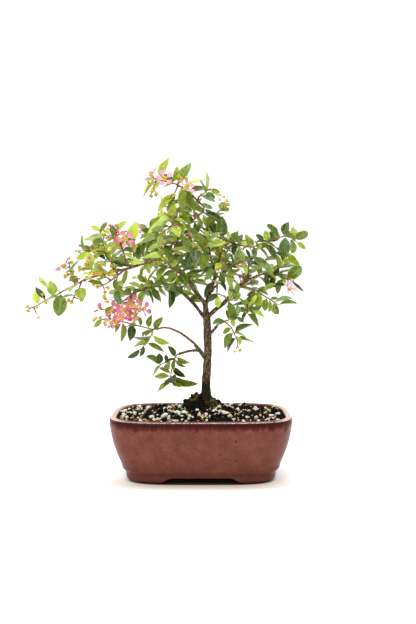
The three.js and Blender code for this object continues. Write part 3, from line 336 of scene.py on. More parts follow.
def tubes(paths: Array, radii: Array, around: int) -> Skin:
    """Round stalks: a circle carried along each path, its radius changing on the way.

    Args:
        paths: Points as (tubes, stations, 3).
        radii: The radius at each station.
        around: How many points go round.

    Returns:
        The stalks as one skin, closed at both ends.
    """
    run = unit(np.gradient(paths, axis=1))
    rings = paths[:, :, None] + rays(run, ASIDE, turns(around)) * radii[:, None, None]
    return carried(rings, paths[:, 0] - run[:, 0] * radii[0] / 2, paths[:, -1] + run[:, -1] * radii[-1] / 2)


# Materials


@dataclass(frozen=True)
class Output:
    """A node's output. The signs of arithmetic put Math nodes behind it."""

    wiring: "Wiring"
    socket: bpy.types.NodeSocket

    def math(self, operation: str, *others: "Socket") -> "Output":
        """The result of a Math node on this output and others."""
        return self.wiring.math(operation, self, *others)

    def __add__(self, other: "Socket") -> "Output":
        """The sum."""
        return self.math("ADD", other)

    def __sub__(self, other: "Socket") -> "Output":
        """The difference."""
        return self.math("SUBTRACT", other)

    def __rsub__(self, other: float) -> "Output":
        """A number less this output."""
        return self.wiring.math("SUBTRACT", other, self)

    def __mul__(self, other: "Socket") -> "Output":
        """The product."""
        return self.math("MULTIPLY", other)

    def __truediv__(self, other: float) -> "Output":
        """The quotient."""
        return self.math("DIVIDE", other)

    def __pow__(self, other: float) -> "Output":
        """The power."""
        return self.math("POWER", other)

    def __abs__(self) -> "Output":
        """The distance from 0."""
        return self.math("ABSOLUTE")

    def step(self, low: float, high: float) -> "Output":
        """A smooth step from 0 at low to 1 at high."""
        inputs = {"Value": self, "From Min": low, "From Max": high}
        return self.wiring.add("MapRange", 0, inputs, interpolation_type="SMOOTHSTEP")

    def ramp(self, stops: Stops, hard: bool = False) -> "Output":
        """Colours along this output, blended or in hard steps."""
        colours = self.wiring.add("ValToRGB", "Color", {0: self})
        ramp = colours.socket.node.color_ramp
        ramp.interpolation = "CONSTANT" if hard else "LINEAR"
        ramp.elements.remove(ramp.elements[1])
        ramp.elements[0].position = stops[0][0]
        for position, _ in stops[1:]:
            ramp.elements.new(position)
        for element, (_, colour) in zip(ramp.elements, stops):
            element.color = linear(colour)
        return colours

    def split(self) -> list["Output"]:
        """The three parts of a vector."""
        return [self.wiring.add("SeparateXYZ", part, {0: self}) for part in "XYZ"]


class Wiring:
    """The node tree of a material or a world, and its last node before the output."""

    def __init__(self, owner: Union[Material, bpy.types.World], last: str = "Principled BSDF") -> None:
        """Starts on a new material or world."""
        owner.use_nodes = True
        self.owner = owner
        self.tree = owner.node_tree
        self.last = self.tree.nodes[last]

    @classmethod
    def of(cls, name: str) -> "Wiring":
        """Starts a new material of a name."""
        return cls(bpy.data.materials.new(name))

    def fill(self, node: bpy.types.Node, inputs: dict[Union[str, int], "Socket"]) -> None:
        """Fills a node's inputs with numbers, colours or other nodes' outputs."""
        for name, source in inputs.items():
            if isinstance(source, Output):
                self.tree.links.new(source.socket, node.inputs[name])
            else:
                node.inputs[name].default_value = linear(source) if isinstance(source, str) else source

    def add(self, kind: str, out: Union[str, int], inputs: Optional[dict] = None, **settings) -> Output:
        """Adds a node.

        Args:
            kind: Its kind, without ShaderNode.
            out: The name or number of the output to give back.
            inputs: What fills its inputs, by name or number.
            settings: Its own settings.

        Returns:
            The output.
        """
        node = self.tree.nodes.new("ShaderNode" + kind)
        for setting, value in settings.items():
            setattr(node, setting, value)
        self.fill(node, inputs or {})
        return Output(self, node.outputs[out])

    def math(self, operation: str, *values: "Socket") -> Output:
        """The result of a Math node on values or outputs."""
        return self.add("Math", 0, dict(enumerate(values)), operation=operation)

    def place(self) -> list[Output]:
        """Object coordinates in millimetres: x, y and z."""
        return [part / MM for part in self.add("TexCoord", "Object").split()]

    def mark(self, name: str) -> Output:
        """An attribute of the piece that is a number."""
        return self.add("Attribute", "Fac", attribute_name=name)

    def marks(self, name: str) -> list[Output]:
        """The three parts of an attribute of the piece."""
        return self.add("Attribute", "Vector", attribute_name=name).split()

    def noise(self, size: float, detail: float = 2.0, upright: float = 1.0, **inputs: float) -> Output:
        """A noise from 0 to 1.

        Args:
            size: About how wide its features are, in millimetres.
            detail: How many finer layers it has.
            upright: 1 for even features; less draws them out along z.
            inputs: Further inputs of the Noise Texture node.

        Returns:
            Its height.
        """
        place = self.add("TexCoord", "Object")
        if upright != 1:
            place = self.add("Mapping", 0, {"Vector": place, "Scale": (1, 1, upright)})
        inputs = {"Vector": place, "Scale": 1 / (size * MM), "Detail": detail, **inputs}
        return self.add("TexNoise", "Fac", inputs)

    def blend(self, share: "Socket", first: "Socket", second: "Socket") -> Output:
        """One colour at a share of 0 and another at 1."""
        return self.add("Mix", 2, {0: share, 6: first, 7: second}, data_type="RGBA")

    def relief(self, height: Output, depth: float, strength: float = 1.0) -> Output:
        """A normal for a relief of so many millimetres between heights 0 and 1."""
        inputs = {"Height": height, "Distance": depth * MM, "Strength": strength}
        return self.add("Bump", "Normal", inputs)

    def finished(self, **sockets: "Socket") -> Material:
        """Fills inputs of the last node, with _ for a space in their names.

        Returns:
            The material.
        """
        self.fill(self.last, {name.replace("_", " "): source for name, source in sockets.items()})
        return self.owner


@dataclass(frozen=True)
class LeafFinish:
    """Cherry leaf: a waxed green upper face over a duller, greyer underside, with pale veins in both."""

    tones: Stops = (
        (0.0, "#1f3505"), (0.2, "#415a0d"), (0.45, "#6f8420"), (0.72, "#9fad36"), (1.0, "#c8de50"),
    )
    cool: Stops = ((0.0, "#2c4825"), (0.5, "#5d8147"), (1.0, "#a1ba74"))
    under: str = "#8f984c"
    vein: str = "#bfc972"
    stalk: str = "#a8a24e"
    patch: float = 4.6
    pucker: float = 1.1
    side_veins: float = 6.0
    vein_edge: tuple[float, float] = (0.03, 0.13)
    vein_share: float = 0.28
    unevenness: float = 0.85
    puckering: float = 0.5
    # painted highlight: how much lighter the curved edges of each blade are made
    pale_margin: float = 0.3

    def material(self) -> Material:
        """The material. Its marks are blade (across, along, tone), under and cool."""
        wiring = Wiring.of("waxed_leaf")
        # The blade's tone carries the painted light and shade of the crown.
        across, along, tone = wiring.marks("blade")
        below = wiring.mark("under")
        out = abs(across)
        patches = wiring.noise(self.patch, 4, Roughness=0.6)
        puckers = wiring.noise(self.pucker)
        # Side veins leave the midrib forward: lines of equal along x number - across.
        line = along * self.side_veins - out * 1.1
        side = 1 - abs(line.math("FRACT") - 0.5).step(*self.vein_edge)
        middle = 1 - out.step(*self.vein_edge)
        veins = middle.math("MAXIMUM", side * 0.4)
        shade = (patches - 0.48) * self.unevenness + tone + (puckers - 0.5) * self.puckering
        # Painted highlight: the outer edge of each blade is lighter.
        shade = shade + out.step(0.78, 0.98) * self.pale_margin
        green = wiring.blend(wiring.mark("cool"), shade.ramp(self.tones), shade.ramp(self.cool))
        upper = wiring.blend(veins * self.vein_share, green, self.vein)
        dull = wiring.blend(veins * self.vein_share, wiring.blend(0.5, green, self.under), self.vein)
        skin = wiring.blend(below, upper, dull)
        return wiring.finished(
            Base_Color=wiring.blend(along.step(0.1, 0.05), skin, self.stalk),
            Roughness=below * 0.24 + 0.3,
            Specular_IOR_Level=0.32,
            Normal=wiring.relief(puckers - veins, 0.14, 0.7),
        )


@dataclass(frozen=True)
class PetalFinish:
    """Thin silky petals: warm pink at the edge, paler on the claw, lilac where they fade, with fine veins."""

    stops: Stops = ((0.0, "#f8cfc4"), (0.4, "#f6a3b2"), (0.7, "#f0719b"), (1.0, "#e04681"))
    faded: str = "#eec3e0"
    veins: float = 9.0
    patch: float = 2.2
    unevenness: float = 0.8

    def material(self) -> Material:
        """The material. Its mark is blade (across, along, tone): the tone is how far a petal has faded."""
        wiring = Wiring.of("silky_petal")
        across, along, tone = wiring.marks("blade")
        pink = ((wiring.noise(self.patch) - 0.5) * self.unevenness + along).ramp(self.stops)
        ribs = (across * self.veins).math("SINE")
        pink = wiring.blend(ribs * 0.06 + 0.06, pink, self.faded)
        return wiring.finished(
            Base_Color=wiring.blend(tone, pink, self.faded),
            Roughness=0.55,
            Specular_IOR_Level=0.25,
            Normal=wiring.relief(ribs, 0.05, 0.5),
        )


@dataclass(frozen=True)
class BudFinish:
    """Closed buds, anthers, calyxes and their glands: waxy, each in the colour of its kind."""

    kinds: Stops = (
        (0.0, "#c2ac3c"), (0.17, "#e0cc66"), (0.34, "#e0608a"), (0.5, "#f6c02a"), (0.67, "#aeb040"),
        (0.84, "#bd7a54"),
    )
    shade: str = "#a5842f"
    grain: float = 1.4

    def material(self) -> Material:
        """The material. Its mark is kind."""
        wiring = Wiring.of("waxy_bud")
        colour = wiring.mark("kind").ramp(self.kinds, hard=True)
        grain = wiring.noise(self.grain, 3)
        return wiring.finished(
            Base_Color=wiring.blend(grain.step(0.5, 0.75), colour, self.shade),
            Roughness=0.45,
            Specular_IOR_Level=0.3,
            Normal=wiring.relief(grain, 0.1, 0.5),
        )


@dataclass(frozen=True)
class BarkFinish:
    """Bark: grey brown with pale corky flecks and dark cracks, redder on thin wood, black at the foot."""

    old: Stops = ((0.36, "#150f0a"), (0.5, "#453524"), (0.64, "#7c6646"))
    young: Stops = ((0.36, "#432a1a"), (0.5, "#7a5538"), (0.64, "#a98a63"))
    cork: str = "#a59678"
    # near-black that the bark turns to towards the foot of the trunk
    wet: str = "#0c0a07"
    crack: float = 2.4
    fleck: float = 1.7
    damp_top: float = 121.0
    damp_fade: float = 16.0
    ragged: float = 40.0

    def material(self) -> Material:
        """The material. Its mark is young, from 0 on the trunk to 1 on thin wood."""
        wiring = Wiring.of("cracked_bark")
        cracks = wiring.noise(self.crack, 4, upright=0.35, Roughness=0.65)
        brown = wiring.blend(wiring.mark("young"), cracks.ramp(self.old), cracks.ramp(self.young))
        flecks = wiring.noise(self.fleck).step(0.56, 0.66)
        brown = wiring.blend(flecks * 0.5, brown, self.cork)
        height = (cracks - 0.5) * self.ragged + wiring.place()[2]
        # The bark is darkened towards the foot of the trunk, below a ragged line.
        damp = height.step(self.damp_top, self.damp_top - self.damp_fade)
        return wiring.finished(
            Base_Color=wiring.blend(damp * 0.9, brown, self.wet),
            Roughness=cracks * 0.2 + 0.68,
            Specular_IOR_Level=0.2,
            Normal=wiring.relief(cracks, 0.6, 0.8),
        )


@dataclass(frozen=True)
class TwigFinish:
    """Young twigs: smooth red-brown skin with pale pores, greener in places."""

    skin: Stops = ((0.35, "#6b3a24"), (0.5, "#84532d"), (0.66, "#86853a"))
    patch: float = 18.0
    pore: float = 0.9

    def material(self) -> Material:
        """The material, by place alone."""
        wiring = Wiring.of("young_twig")
        pores = wiring.noise(self.pore, 1).step(0.58, 0.7)
        return wiring.finished(
            Base_Color=wiring.blend(pores * 0.5, wiring.noise(self.patch).ramp(self.skin), "#cdb68d"),
            Roughness=0.55,
            Specular_IOR_Level=0.3,
            Normal=wiring.relief(pores, 0.1, 0.6),
        )


@dataclass(frozen=True)
class StalkFinish:
    """The thin fleshy stalks of flowers and buds: yellow green, flushed with pink in places."""

    flush: Stops = ((0.38, "#b7b248"), (0.52, "#cfb05a"), (0.66, "#d38c6a"))
    patch: float = 9.0

    def material(self) -> Material:
        """The material, by place alone."""
        wiring = Wiring.of("fleshy_stalk")
        patches = wiring.noise(self.patch)
        return wiring.finished(
            Base_Color=patches.ramp(self.flush),
            Roughness=0.5,
            Specular_IOR_Level=0.3,
            Normal=wiring.relief(patches, 0.05, 0.3),
        )


@dataclass(frozen=True)
class GlazeFinish:
    """Stoneware under a brown-pink glaze that pools in a band below, with painted highlight and reflection on
    the lip.
    """

    clay: Stops = ((0.36, "#5b2c22"), (0.5, "#6d382c"), (0.64, "#7e4638"))
    foot: str = "#4a2219"
    pit: str = "#3d130d"
    band: tuple[str, str] = ("#5c160c", "#2c0a06")
    lip: Stops = ((0.35, "#582117"), (0.65, "#833f2e"))
    # painted reflection of the soft boxes: the lip's top is paler towards its left and right ends
    pale: str = "#d9a58d"
    # painted highlight: a thin pale line along the lip's outer edge, where the soft box glints
    thin: str = "#f0dcd2"
    band_top: float = 72.8
    band_foot: float = 65.4
    drip: float = 9.0
    run: float = 8.0
    mottle: float = 13.0
    speck: float = 1.3
    foot_shade: tuple[float, float] = (34.0, 6.0)
    # how far off the middle the painted reflection on the lip starts, and where it is full
    pale_ends: tuple[float, float] = (82.0, 99.0)
    middle: float = 41.1
    pits: Rows = ((80.2, 53.2, 1.5), (62.6, 36.5, 1.0), (80.2, 29.7, 1.4), (136.5, 64.5, 3.0))

    def material(self) -> Material:
        """The material. Its mark is rim, 1 on the lip's outer edge. A pit in front is x, z and a radius."""
        wiring = Wiring.of("broken_glaze")
        side, depth, height = wiring.place()
        fine = wiring.noise(self.speck, 3, Roughness=0.6)
        both = wiring.noise(self.mottle, 4, Roughness=0.55) * 0.4 + fine * 0.6
        body = wiring.blend(height.step(*self.foot_shade) * 0.45, both.ramp(self.clay), self.foot)
        for x, z, radius in self.pits:
            off = ((side - x) / radius) ** 2 + ((height - z) / radius) ** 2
            front = off.step(1.4, 0.5) * depth.math("LESS_THAN", 0.0)
            body = wiring.blend(front * 0.7, body, self.pit)
        runs = wiring.noise(self.run, 4, upright=0.12, Roughness=0.65)
        level = (runs - 0.5) * (2 * self.drip) + height - self.band_foot
        pooled = level.step(-1.8, 1.8)
        body = wiring.blend(pooled * 0.95, body, wiring.blend(level.step(-1, 6), *self.band))
        lip = height.step(self.band_top, self.band_top + 0.8)
        # Painted reflection: the lip is blended to a pale colour towards its ends.
        ends = abs(side - self.middle).step(*self.pale_ends)
        # Painted highlight: the rim mark, broken by fine noise, lays a thin pale line on the lip's outer
        # edge.
        thin = wiring.mark("rim") * fine.step(0.36, 0.6)
        lip_colour = wiring.blend(ends, fine.ramp(self.lip), self.pale)
        lip_colour = wiring.blend(thin * 0.85, lip_colour, self.thin)
        return wiring.finished(
            Base_Color=wiring.blend(lip, body, lip_colour),
            Roughness=fine * 0.2 + 0.3,
            Specular_IOR_Level=0.12,
            Coat_Weight=lip * (ends * 0.5 + 0.3) + (pooled * -0.08 + 0.1),
            Coat_Roughness=0.1,
            Normal=wiring.relief(both, 0.35, 0.45),
        )


@dataclass(frozen=True)
class SoilFinish:
    """Damp black potting soil with fine crumbs, greened by moss towards the trunk."""

    damp: Stops = ((0.35, "#040303"), (0.56, "#0f0b09"), (0.7, "#2b2017"))
    green: Stops = ((0.36, "#120f05"), (0.52, "#4a4413"), (0.68, "#8a7d2a"))
    crumb: float = 1.3
    moss: float = 4.0

    def material(self) -> Material:
        """The material. Its mark is moss, from 0 on bare soil to 1 by the trunk."""
        wiring = Wiring.of("damp_soil")
        crumbs = wiring.noise(self.crumb, 4, Roughness=0.7)
        mossy = (wiring.mark("moss") * wiring.noise(self.moss, 3)).step(0.36, 0.52)
        return wiring.finished(
            Base_Color=wiring.blend(mossy, crumbs.ramp(self.damp), crumbs.ramp(self.green)),
            Roughness=0.9,
            Specular_IOR_Level=0.12,
            Normal=wiring.relief(crumbs, 0.9),
        )


class Grain(Enum):
    """The kinds of loose grains, as the place of their colour in the grain finish."""

    CHARCOAL = 0.08
    BARK = 0.23
    PERLITE = 0.38
    CREAM = 0.53
    CLAY = 0.68
    FEED = 0.8
    CHIP = 0.95


@dataclass(frozen=True)
class GrainFinish:
    """Grains of the mix: charcoal, bark, perlite, baked clay and slow feed, each dusty in its own colour."""

    kinds: Stops = (
        (0.0, "#080706"), (0.15, "#33231a"), (0.3, "#f6f0dd"), (0.45, "#dfce98"), (0.6, "#c5623a"),
        (0.75, "#b0a238"), (0.9, "#0c7a56"),
    )
    hollow: str = "#3c2e20"
    pit: float = 1.1

    def material(self) -> Material:
        """The material. Its mark is kind."""
        wiring = Wiring.of("dusty_grain")
        pits = wiring.noise(self.pit, 3)
        colour = wiring.mark("kind").ramp(self.kinds, hard=True)
        return wiring.finished(
            Base_Color=wiring.blend(pits.step(0.52, 0.7) * 0.6, colour, self.hollow),
            Roughness=0.8,
            Specular_IOR_Level=0.15,
            Normal=wiring.relief(pits, 0.3, 0.8),
        )


@dataclass(frozen=True)
class ScreenFinish:
    """Moulded black plastic net with a faint grain from its mould."""

    black: Stops = ((0.3, "#141615"), (0.7, "#232625"))
    grain: float = 0.6

    def material(self) -> Material:
        """The material, by place alone."""
        wiring = Wiring.of("moulded_net")
        grain = wiring.noise(self.grain)
        return wiring.finished(
            Base_Color=grain.ramp(self.black), Roughness=0.5, Normal=wiring.relief(grain, 0.05, 0.5)
        )


@dataclass(frozen=True)
class PaperFinish:
    """White paper that glows a little, but not under the pot, where a painted shadow lies, with a painted
    warm reflection of the clay in front.
    """

    white: Stops = ((0.3, "#f4f4f2"), (0.7, "#fbfbfa"))
    # painted reflection: the clay's warm light on the paper in front of the pot
    cast: str = "#f8e2bf"
    shadow: str = "#6a5748"
    glow: float = 0.3
    foot: tuple[float, float] = (87.0, 53.5)
    middle: float = 41.1

    def material(self) -> Material:
        """The material, by place alone: |x / a|⁴ + |y / b|⁴ tells how far off the pot's foot a spot is."""
        wiring = Wiring.of("white_paper")
        side, depth, _ = wiring.place()
        off = abs((side - self.middle) / self.foot[0]) ** 4 + abs(depth / self.foot[1]) ** 4
        front = depth.step(0, -70)
        # Painted reflection of the clay in front of the pot; below, painted shadow under its foot.
        white = wiring.blend(off.step(6, 1) * front * 0.6, wiring.noise(2.0).ramp(self.white), self.cast)
        return wiring.finished(
            Base_Color=wiring.blend(off.step(1.1, 0.8), white, self.shadow),
            Roughness=0.9,
            Specular_IOR_Level=0.1,
            Emission_Color="#ffffff",
            Emission_Strength=off.step(0.7, 1.2) * self.glow * (1 - front * off.step(7, 1)),
        )


# The pot, its screens and the soil


@dataclass
class Pot:
    """A pot whose plan is a rounded rectangle, on feet that two gaps part.

    Its outline is rows of an inset and a height.
    """

    half_width: float = 106.5
    half_depth: float = 73.0
    corner: float = 4.0
    around: int = 288
    floor_inset: float = 36.0
    gap_height: float = 8.0
    front_gap: tuple[float, float] = (34.0, 55.0)
    side_gap: tuple[float, float] = (20.0, 33.0)
    drain_spacing: float = 84.0
    drain_diameter: float = 15.0
    drain_cut: float = 9.0
    floor_top: float = 13.0
    rim_inset: float = 1.9
    rim_height: float = 72.0
    flow: float = 0.12
    outline: Rows = (
        (36, 8), (36, 0), (25, 0), (19.4, 2.6), (18.4, 7), (19.4, 10.2), (14.2, 14.6), (13.6, 19.5),
        (8.6, 31), (3.4, 47), (0.3, 65), (0.2, 71.5), (2.8, 74.8), (6.4, 74.8), (8.8, 71.8), (9.6, 66),
        (15, 40), (30, 13), (36, 13),
    )

    def __post_init__(self) -> None:
        """Finds the pot's middle from its solid."""
        low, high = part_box("pot")
        self.middle = (low.x + high.x) / 2 / MM

    def edge(self, inset: Array) -> Array:
        """The plan at an inset: |x / a|⁴ + |y / b|⁴ = 1, at even turns.

        Args:
            inset: Insets from the widest outline, in any shape.

        Returns:
            The x and y of the points, with two more axes: turns and coordinates. x is from the pot's middle.
        """
        across, away = np.cos(turns(self.around)), np.sin(turns(self.around))
        reach = (np.abs(across) ** self.corner + np.abs(away) ** self.corner) ** (-1 / self.corner)
        wide = (self.half_width - inset)[..., None] * across * reach
        deep = (self.half_depth - inset)[..., None] * away * reach
        return np.stack([wide, deep], axis=-1)

    def gap(self, off: Array, halves: tuple[float, float]) -> Array:
        """How high a gap between feet is, so far off its middle: level, then a cubic curve to the table."""
        top, foot = halves
        share = np.linspace(0, 1, 33)
        weights = [(1 - share) ** 3, 3 * (1 - share) ** 2 * share, 3 * (1 - share) * share ** 2, share ** 3]
        reach = sum(w * x for w, x in zip(weights, (top, top + 6, top + 8, foot)))
        height = sum(w * z for w, z in zip(weights, (self.gap_height, self.gap_height - 1, 1, 0)))
        return np.interp(np.abs(off), reach, height)

    def rounded(self) -> Array:
        """The profile of the wall, its corners cut three times to round them."""
        profile = np.array(self.outline)
        for _ in range(3):
            near = 0.75 * profile[:-1] + 0.25 * profile[1:]
            far = 0.25 * profile[:-1] + 0.75 * profile[1:]
            cut = np.stack([near, far], axis=1).reshape(-1, 2)
            profile = np.concatenate([profile[:1], cut[1:-1], profile[-1:]])
        return profile

    def wall_skin(self) -> Skin:
        """The wall as a ring: from the floor's edge out, down the feet, up over the lip and down inside.

        Below the floor each point is lifted to the top of the gap that it lies in. The glaze flows by bumps.
        """
        inset, level = self.rounded().T[..., None]
        plan = self.edge(inset[:, 0])
        under = np.maximum(self.gap(plan[..., 0], self.front_gap), self.gap(plan[..., 1], self.side_gap))
        height = np.where(level < self.gap_height, np.maximum(level, under), level)
        rings = np.concatenate([plan, height[..., None]], axis=-1)
        flow = self.flow + self.flow * bumps(rings.reshape(-1, 3), 14, 3).reshape(height.shape)
        rings[..., :2] -= unit(plan) * (flow * (level > self.floor_top))[..., None]
        rings[..., 0] += self.middle
        here = self.around * np.arange(len(rings))[:, None] + np.arange(self.around)
        after = np.roll(here, -1, axis=1)
        quads = np.stack([here, after, np.roll(after, -1, axis=0), np.roll(here, -1, axis=0)], axis=-1)
        # The rim mark says where the glaze's painted highlight line runs along the lip's outer edge.
        rim = np.exp(-((inset - self.rim_inset) / 0.5) ** 2) * (height > self.rim_height)
        return Skin(rings.reshape(-1, 3), [quads.reshape(-1, 4)], {"rim": rim.ravel()})

    def floor_mesh(self) -> bpy.types.Mesh:
        """The floor between the walls as a slab, with its two drain holes cut out."""
        heights = np.array([self.gap_height, self.floor_top])
        plan = self.edge(np.full(2, self.floor_inset))
        rings = np.dstack([plan, np.broadcast_to(heights[:, None], plan.shape[:2])])
        rings[..., 0] += self.middle
        below, above = (np.array([[self.middle, 0, height]]) for height in heights)
        slab = put("floor_slab", carried(rings[None], below, above).mesh("floor_slab"))
        sides = self.middle + self.drain_spacing / 2 * np.array([-1, 1])
        middles = np.column_stack([sides, [0, 0], [self.gap_height] * 2])
        radius, reach = self.drain_diameter / 2, self.drain_cut
        post = ((-reach, 0), (-reach, radius), (reach, radius), (reach, 0))
        holes = beads(middles, np.array([[0.0, 0.0, 1.0]] * 2), post, 48)
        tool = put("drain_holes", holes.mesh("drain_holes"))
        cut = slab.modifiers.new("drain_holes", "BOOLEAN")
        cut.operation, cut.solver, cut.object = "DIFFERENCE", "EXACT", tool
        settle(slab)
        mesh = slab.data
        for part in (slab, tool):
            bpy.data.objects.remove(part)
        return mesh

    def build(self, material: Material) -> None:
        """Makes the pot: its wall, with the floor joined to it."""
        mesh = self.wall_skin().mesh("glazed_pot")
        whole = bmesh.new()
        whole.from_mesh(mesh)
        whole.from_mesh(self.floor_mesh())
        whole.to_mesh(mesh)
        whole.free()
        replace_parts(dressed("glazed_pot", mesh, material, crease=40), "pot")


def settle(made: bpy.types.Object) -> None:
    """Applies an object's modifiers to its mesh."""
    bpy.context.view_layer.update()
    shaped = bpy.data.meshes.new_from_object(made.evaluated_get(bpy.context.evaluated_depsgraph_get()))
    made.modifiers.clear()
    made.data = shaped


@dataclass
class Soil:
    """The soil: a low crown with a mound round the trunk, crumbs in relief, and loose grains on top.

    A row of wall is an inset and a height, and one of moss is x, y, how much x and y count, and a reach. A
    lot of grains is their kind, their number, the smallest and largest size, and how long they can be.
    """

    pot: Pot
    edge_inset: float = 10.0
    edge_height: float = 70.6
    crown: float = 7.0
    mound: float = 17.0
    mound_centre: tuple[float, float] = (0.5, 5.0)
    mound_spread: tuple[float, float] = (22.0, 18.0)
    wall: Rows = ((30.4, 14.3), (24, 25), (15.4, 40), (12, 55), (10, 66))
    rings: int = 96
    moss: Rows = ((-7, 4, 1, 0.8, 10), (16, -4, 0.8, 1, 12))
    lots: tuple[tuple[Grain, int, float, float, float], ...] = (
        (Grain.CHARCOAL, 340, 1.4, 3.6, 0.5), (Grain.BARK, 130, 1.2, 3.0, 0.9),
        (Grain.PERLITE, 225, 0.9, 3.6, 1.0), (Grain.CREAM, 190, 0.9, 2.5, 0.9),
        (Grain.CLAY, 90, 0.9, 1.9, 0.5), (Grain.FEED, 60, 0.9, 1.8, 0.5),
    )
    bare_foot: float = 9.0
    bare_mound: float = 22.0
    patch: float = 26.0
    chips: int = 26
    chip_centre: tuple[float, float] = (-29.0, -4.0)
    chip_spread: tuple[float, float] = (8.0, 24.0)
    chip_box: Rows = ((-70, -54), (-21, 56))

    def inside(self, margin: float = 0.0) -> Array:
        """Half the width and half the depth of the soil's top, less a margin."""
        return np.array([self.pot.half_width, self.pot.half_depth]) - self.edge_inset - margin

    def height(self, x: Array, y: Array) -> Array:
        """The top without crumbs, with x and y from the middle.

        It is edge + crown · (1 - share²) + mound · exp(-(dx² + dy²)^1.6), where the share is 1 at the edge.
        """
        (wide, deep), corner = self.inside(), self.pot.corner
        share = (np.abs(x / wide) ** corner + np.abs(y / deep) ** corner) ** (1 / corner)
        dx = (x - self.mound_centre[0]) / self.mound_spread[0]
        dy = (y - self.mound_centre[1]) / self.mound_spread[1]
        mound = self.mound * np.exp(-(dx * dx + dy * dy) ** 1.6)
        return self.edge_height + self.crown * (1 - share ** 2) + mound

    def crumbled(self, x: Array, y: Array) -> Array:
        """The top with its clods and crumbs."""
        plan = np.stack([x, y, 0 * x], axis=-1).reshape(-1, 3)
        clods = 1.5 * bumps(plan, 9, 11) + 1.4 * bumps(plan, 4.2, 12) + 0.9 * bumps(plan, 2.1, 13)
        return self.height(x, y) + clods.reshape(x.shape)

    def skin(self) -> Skin:
        """The walls from the floor up, then rings of the top that shrink to the middle."""
        inset, level = np.array(self.wall).T
        rim = self.pot.edge(inset)
        top = self.pot.edge(np.array([self.edge_inset]))[0] * np.linspace(1, 0.02, self.rings)[:, None, None]
        height = self.crumbled(top[..., 0], top[..., 1])
        height[0] = self.edge_height
        rings = np.concatenate([
            np.dstack([rim, np.broadcast_to(level[:, None], rim.shape[:2])]),
            np.dstack([top, height]),
        ])
        middle = self.crumbled(np.zeros(1), np.zeros(1))[0]
        made = carried(rings[None], np.array([[0, 0, level[0]]]), np.array([[0, 0, middle]]))
        x, y, z = made.points.T
        off = [np.hypot((x - a) * wide, (y - b) * deep) / reach for a, b, wide, deep, reach in self.moss]
        made.marks["moss"] = np.clip(1.6 - np.min(off, axis=0), 0, 1) * (z > self.edge_height)
        made.points[:, 0] += self.pot.middle
        return made

    def scattered(self, drawn: np.random.Generator, kind: Grain, count: int) -> Array:
        """Places for grains: dark ones all over, pale ones in patches, more in front and on the left."""
        box = self.inside(2)
        spots = drawn.uniform(-box, box, (12 * count + 200, 2))
        inside = (np.abs(spots / box) ** 4).sum(axis=1) < 1
        off = np.hypot(spots[:, 0] - self.mound_centre[0], 1.15 * (spots[:, 1] - self.mound_centre[1]))
        if kind in (Grain.CHARCOAL, Grain.BARK):
            return spots[np.flatnonzero(inside & (off > self.bare_foot))[:count]]
        flat = np.column_stack([spots, 0 * off])
        thick = 0.5 + 0.8 * bumps(flat, self.patch, 51) + 0.25 * (spots[:, 1] < -20) - 0.004 * spots[:, 0]
        keep = inside & (off > self.bare_mound) & (drawn.random(len(spots)) < np.clip(thick, 0.06, 1))
        return spots[np.flatnonzero(keep)[:count]]

    def grains(self, drawn: np.random.Generator) -> Array:
        """Draws the grains of each lot, then the chips.

        Args:
            drawn: For the draws.

        Returns:
            Columns of x, y, size, how much longer than wide, and kind.
        """
        rows = []
        for kind, count, small, large, stretch in self.lots:
            places = self.scattered(drawn, kind, count)
            size = small + (large - small) * drawn.random(len(places)) ** 1.8
            long = 1 + stretch * drawn.random(len(places))
            rows.append(np.column_stack([places, size, long, np.full(len(places), kind.value)]))
        chips = drawn.normal(self.chip_centre, self.chip_spread, (self.chips, 2)).clip(*self.chip_box)
        size = drawn.uniform(1.2, 2.4, self.chips)
        rows.append(np.column_stack([chips, size, np.full((self.chips, 2), (1.1, Grain.CHIP.value))]))
        return np.concatenate(rows).T

    def loose(self) -> Skin:
        """Grains: balls of twelve points, each pushed in or out, stretched, turned and half sunk."""
        drawn = np.random.default_rng(41)
        ball = bmesh.new()
        bmesh.ops.create_icosphere(ball, subdivisions=1, radius=1)
        corners = np.array([vertex.co[:] for vertex in ball.verts])
        sides = np.array([[vertex.index for vertex in side.verts] for side in ball.faces])
        ball.free()
        x, y, size, long, kind = self.grains(drawn)
        count = len(size)
        stretch = drawn.uniform(0.7, 1.05, (count, 1, 3))
        stretch[:, 0, 0] *= long
        push = drawn.uniform(0.72, 1.15, (count, len(corners), 1))
        shapes = corners * push * stretch * size[:, None, None]
        first = unit(drawn.normal(size=(count, 3)) * (1, 1, 0.35))
        second = square_to(drawn.normal(size=(count, 3)), first)
        shapes = shapes @ np.stack([first, second, np.cross(first, second)], axis=1)
        shapes += np.column_stack([x + self.pot.middle, y, self.crumbled(x, y) + 0.25 * size])[:, None]
        marks = {"kind": np.repeat(kind, len(corners))}
        return Skin(shapes.reshape(-1, 3), repeated([sides], len(corners), count), marks)

    def build(self, soil: Material, grain: Material) -> None:
        """Makes the soil and its grains."""
        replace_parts(self.skin().piece("potting_soil", soil, Slot.SOIL, crease=70), "soil")
        self.loose().piece("soil_grains", grain, Slot.SOIL, crease=25)


# What the solids of the tree are made of


def triples(items: bpy.types.bpy_prop_collection, name: str, kind: type = float) -> Array:
    """A property of a mesh's vertices or triangles, as rows of three numbers."""
    values = np.empty(3 * len(items), dtype=kind)
    items.foreach_get(name, values)
    return values.reshape(-1, 3)


def welded(node: str) -> tuple[Array, Array]:
    """A CAD node's points in millimetres, each once, and its triangles.

    Args:
        node: The node's name.

    Returns:
        Points as rows of x, y, z, and triangles as rows of point numbers.
    """
    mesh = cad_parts[node].data
    mesh.calc_loop_triangles()
    places = triples(mesh.vertices, "co") / MM
    corners = triples(mesh.loop_triangles, "vertices", np.int32)
    rounded = np.round(places * 1000).astype(np.int64)
    _, first, same = np.unique(rounded, axis=0, return_index=True, return_inverse=True)
    return places[first], same.reshape(-1)[corners]


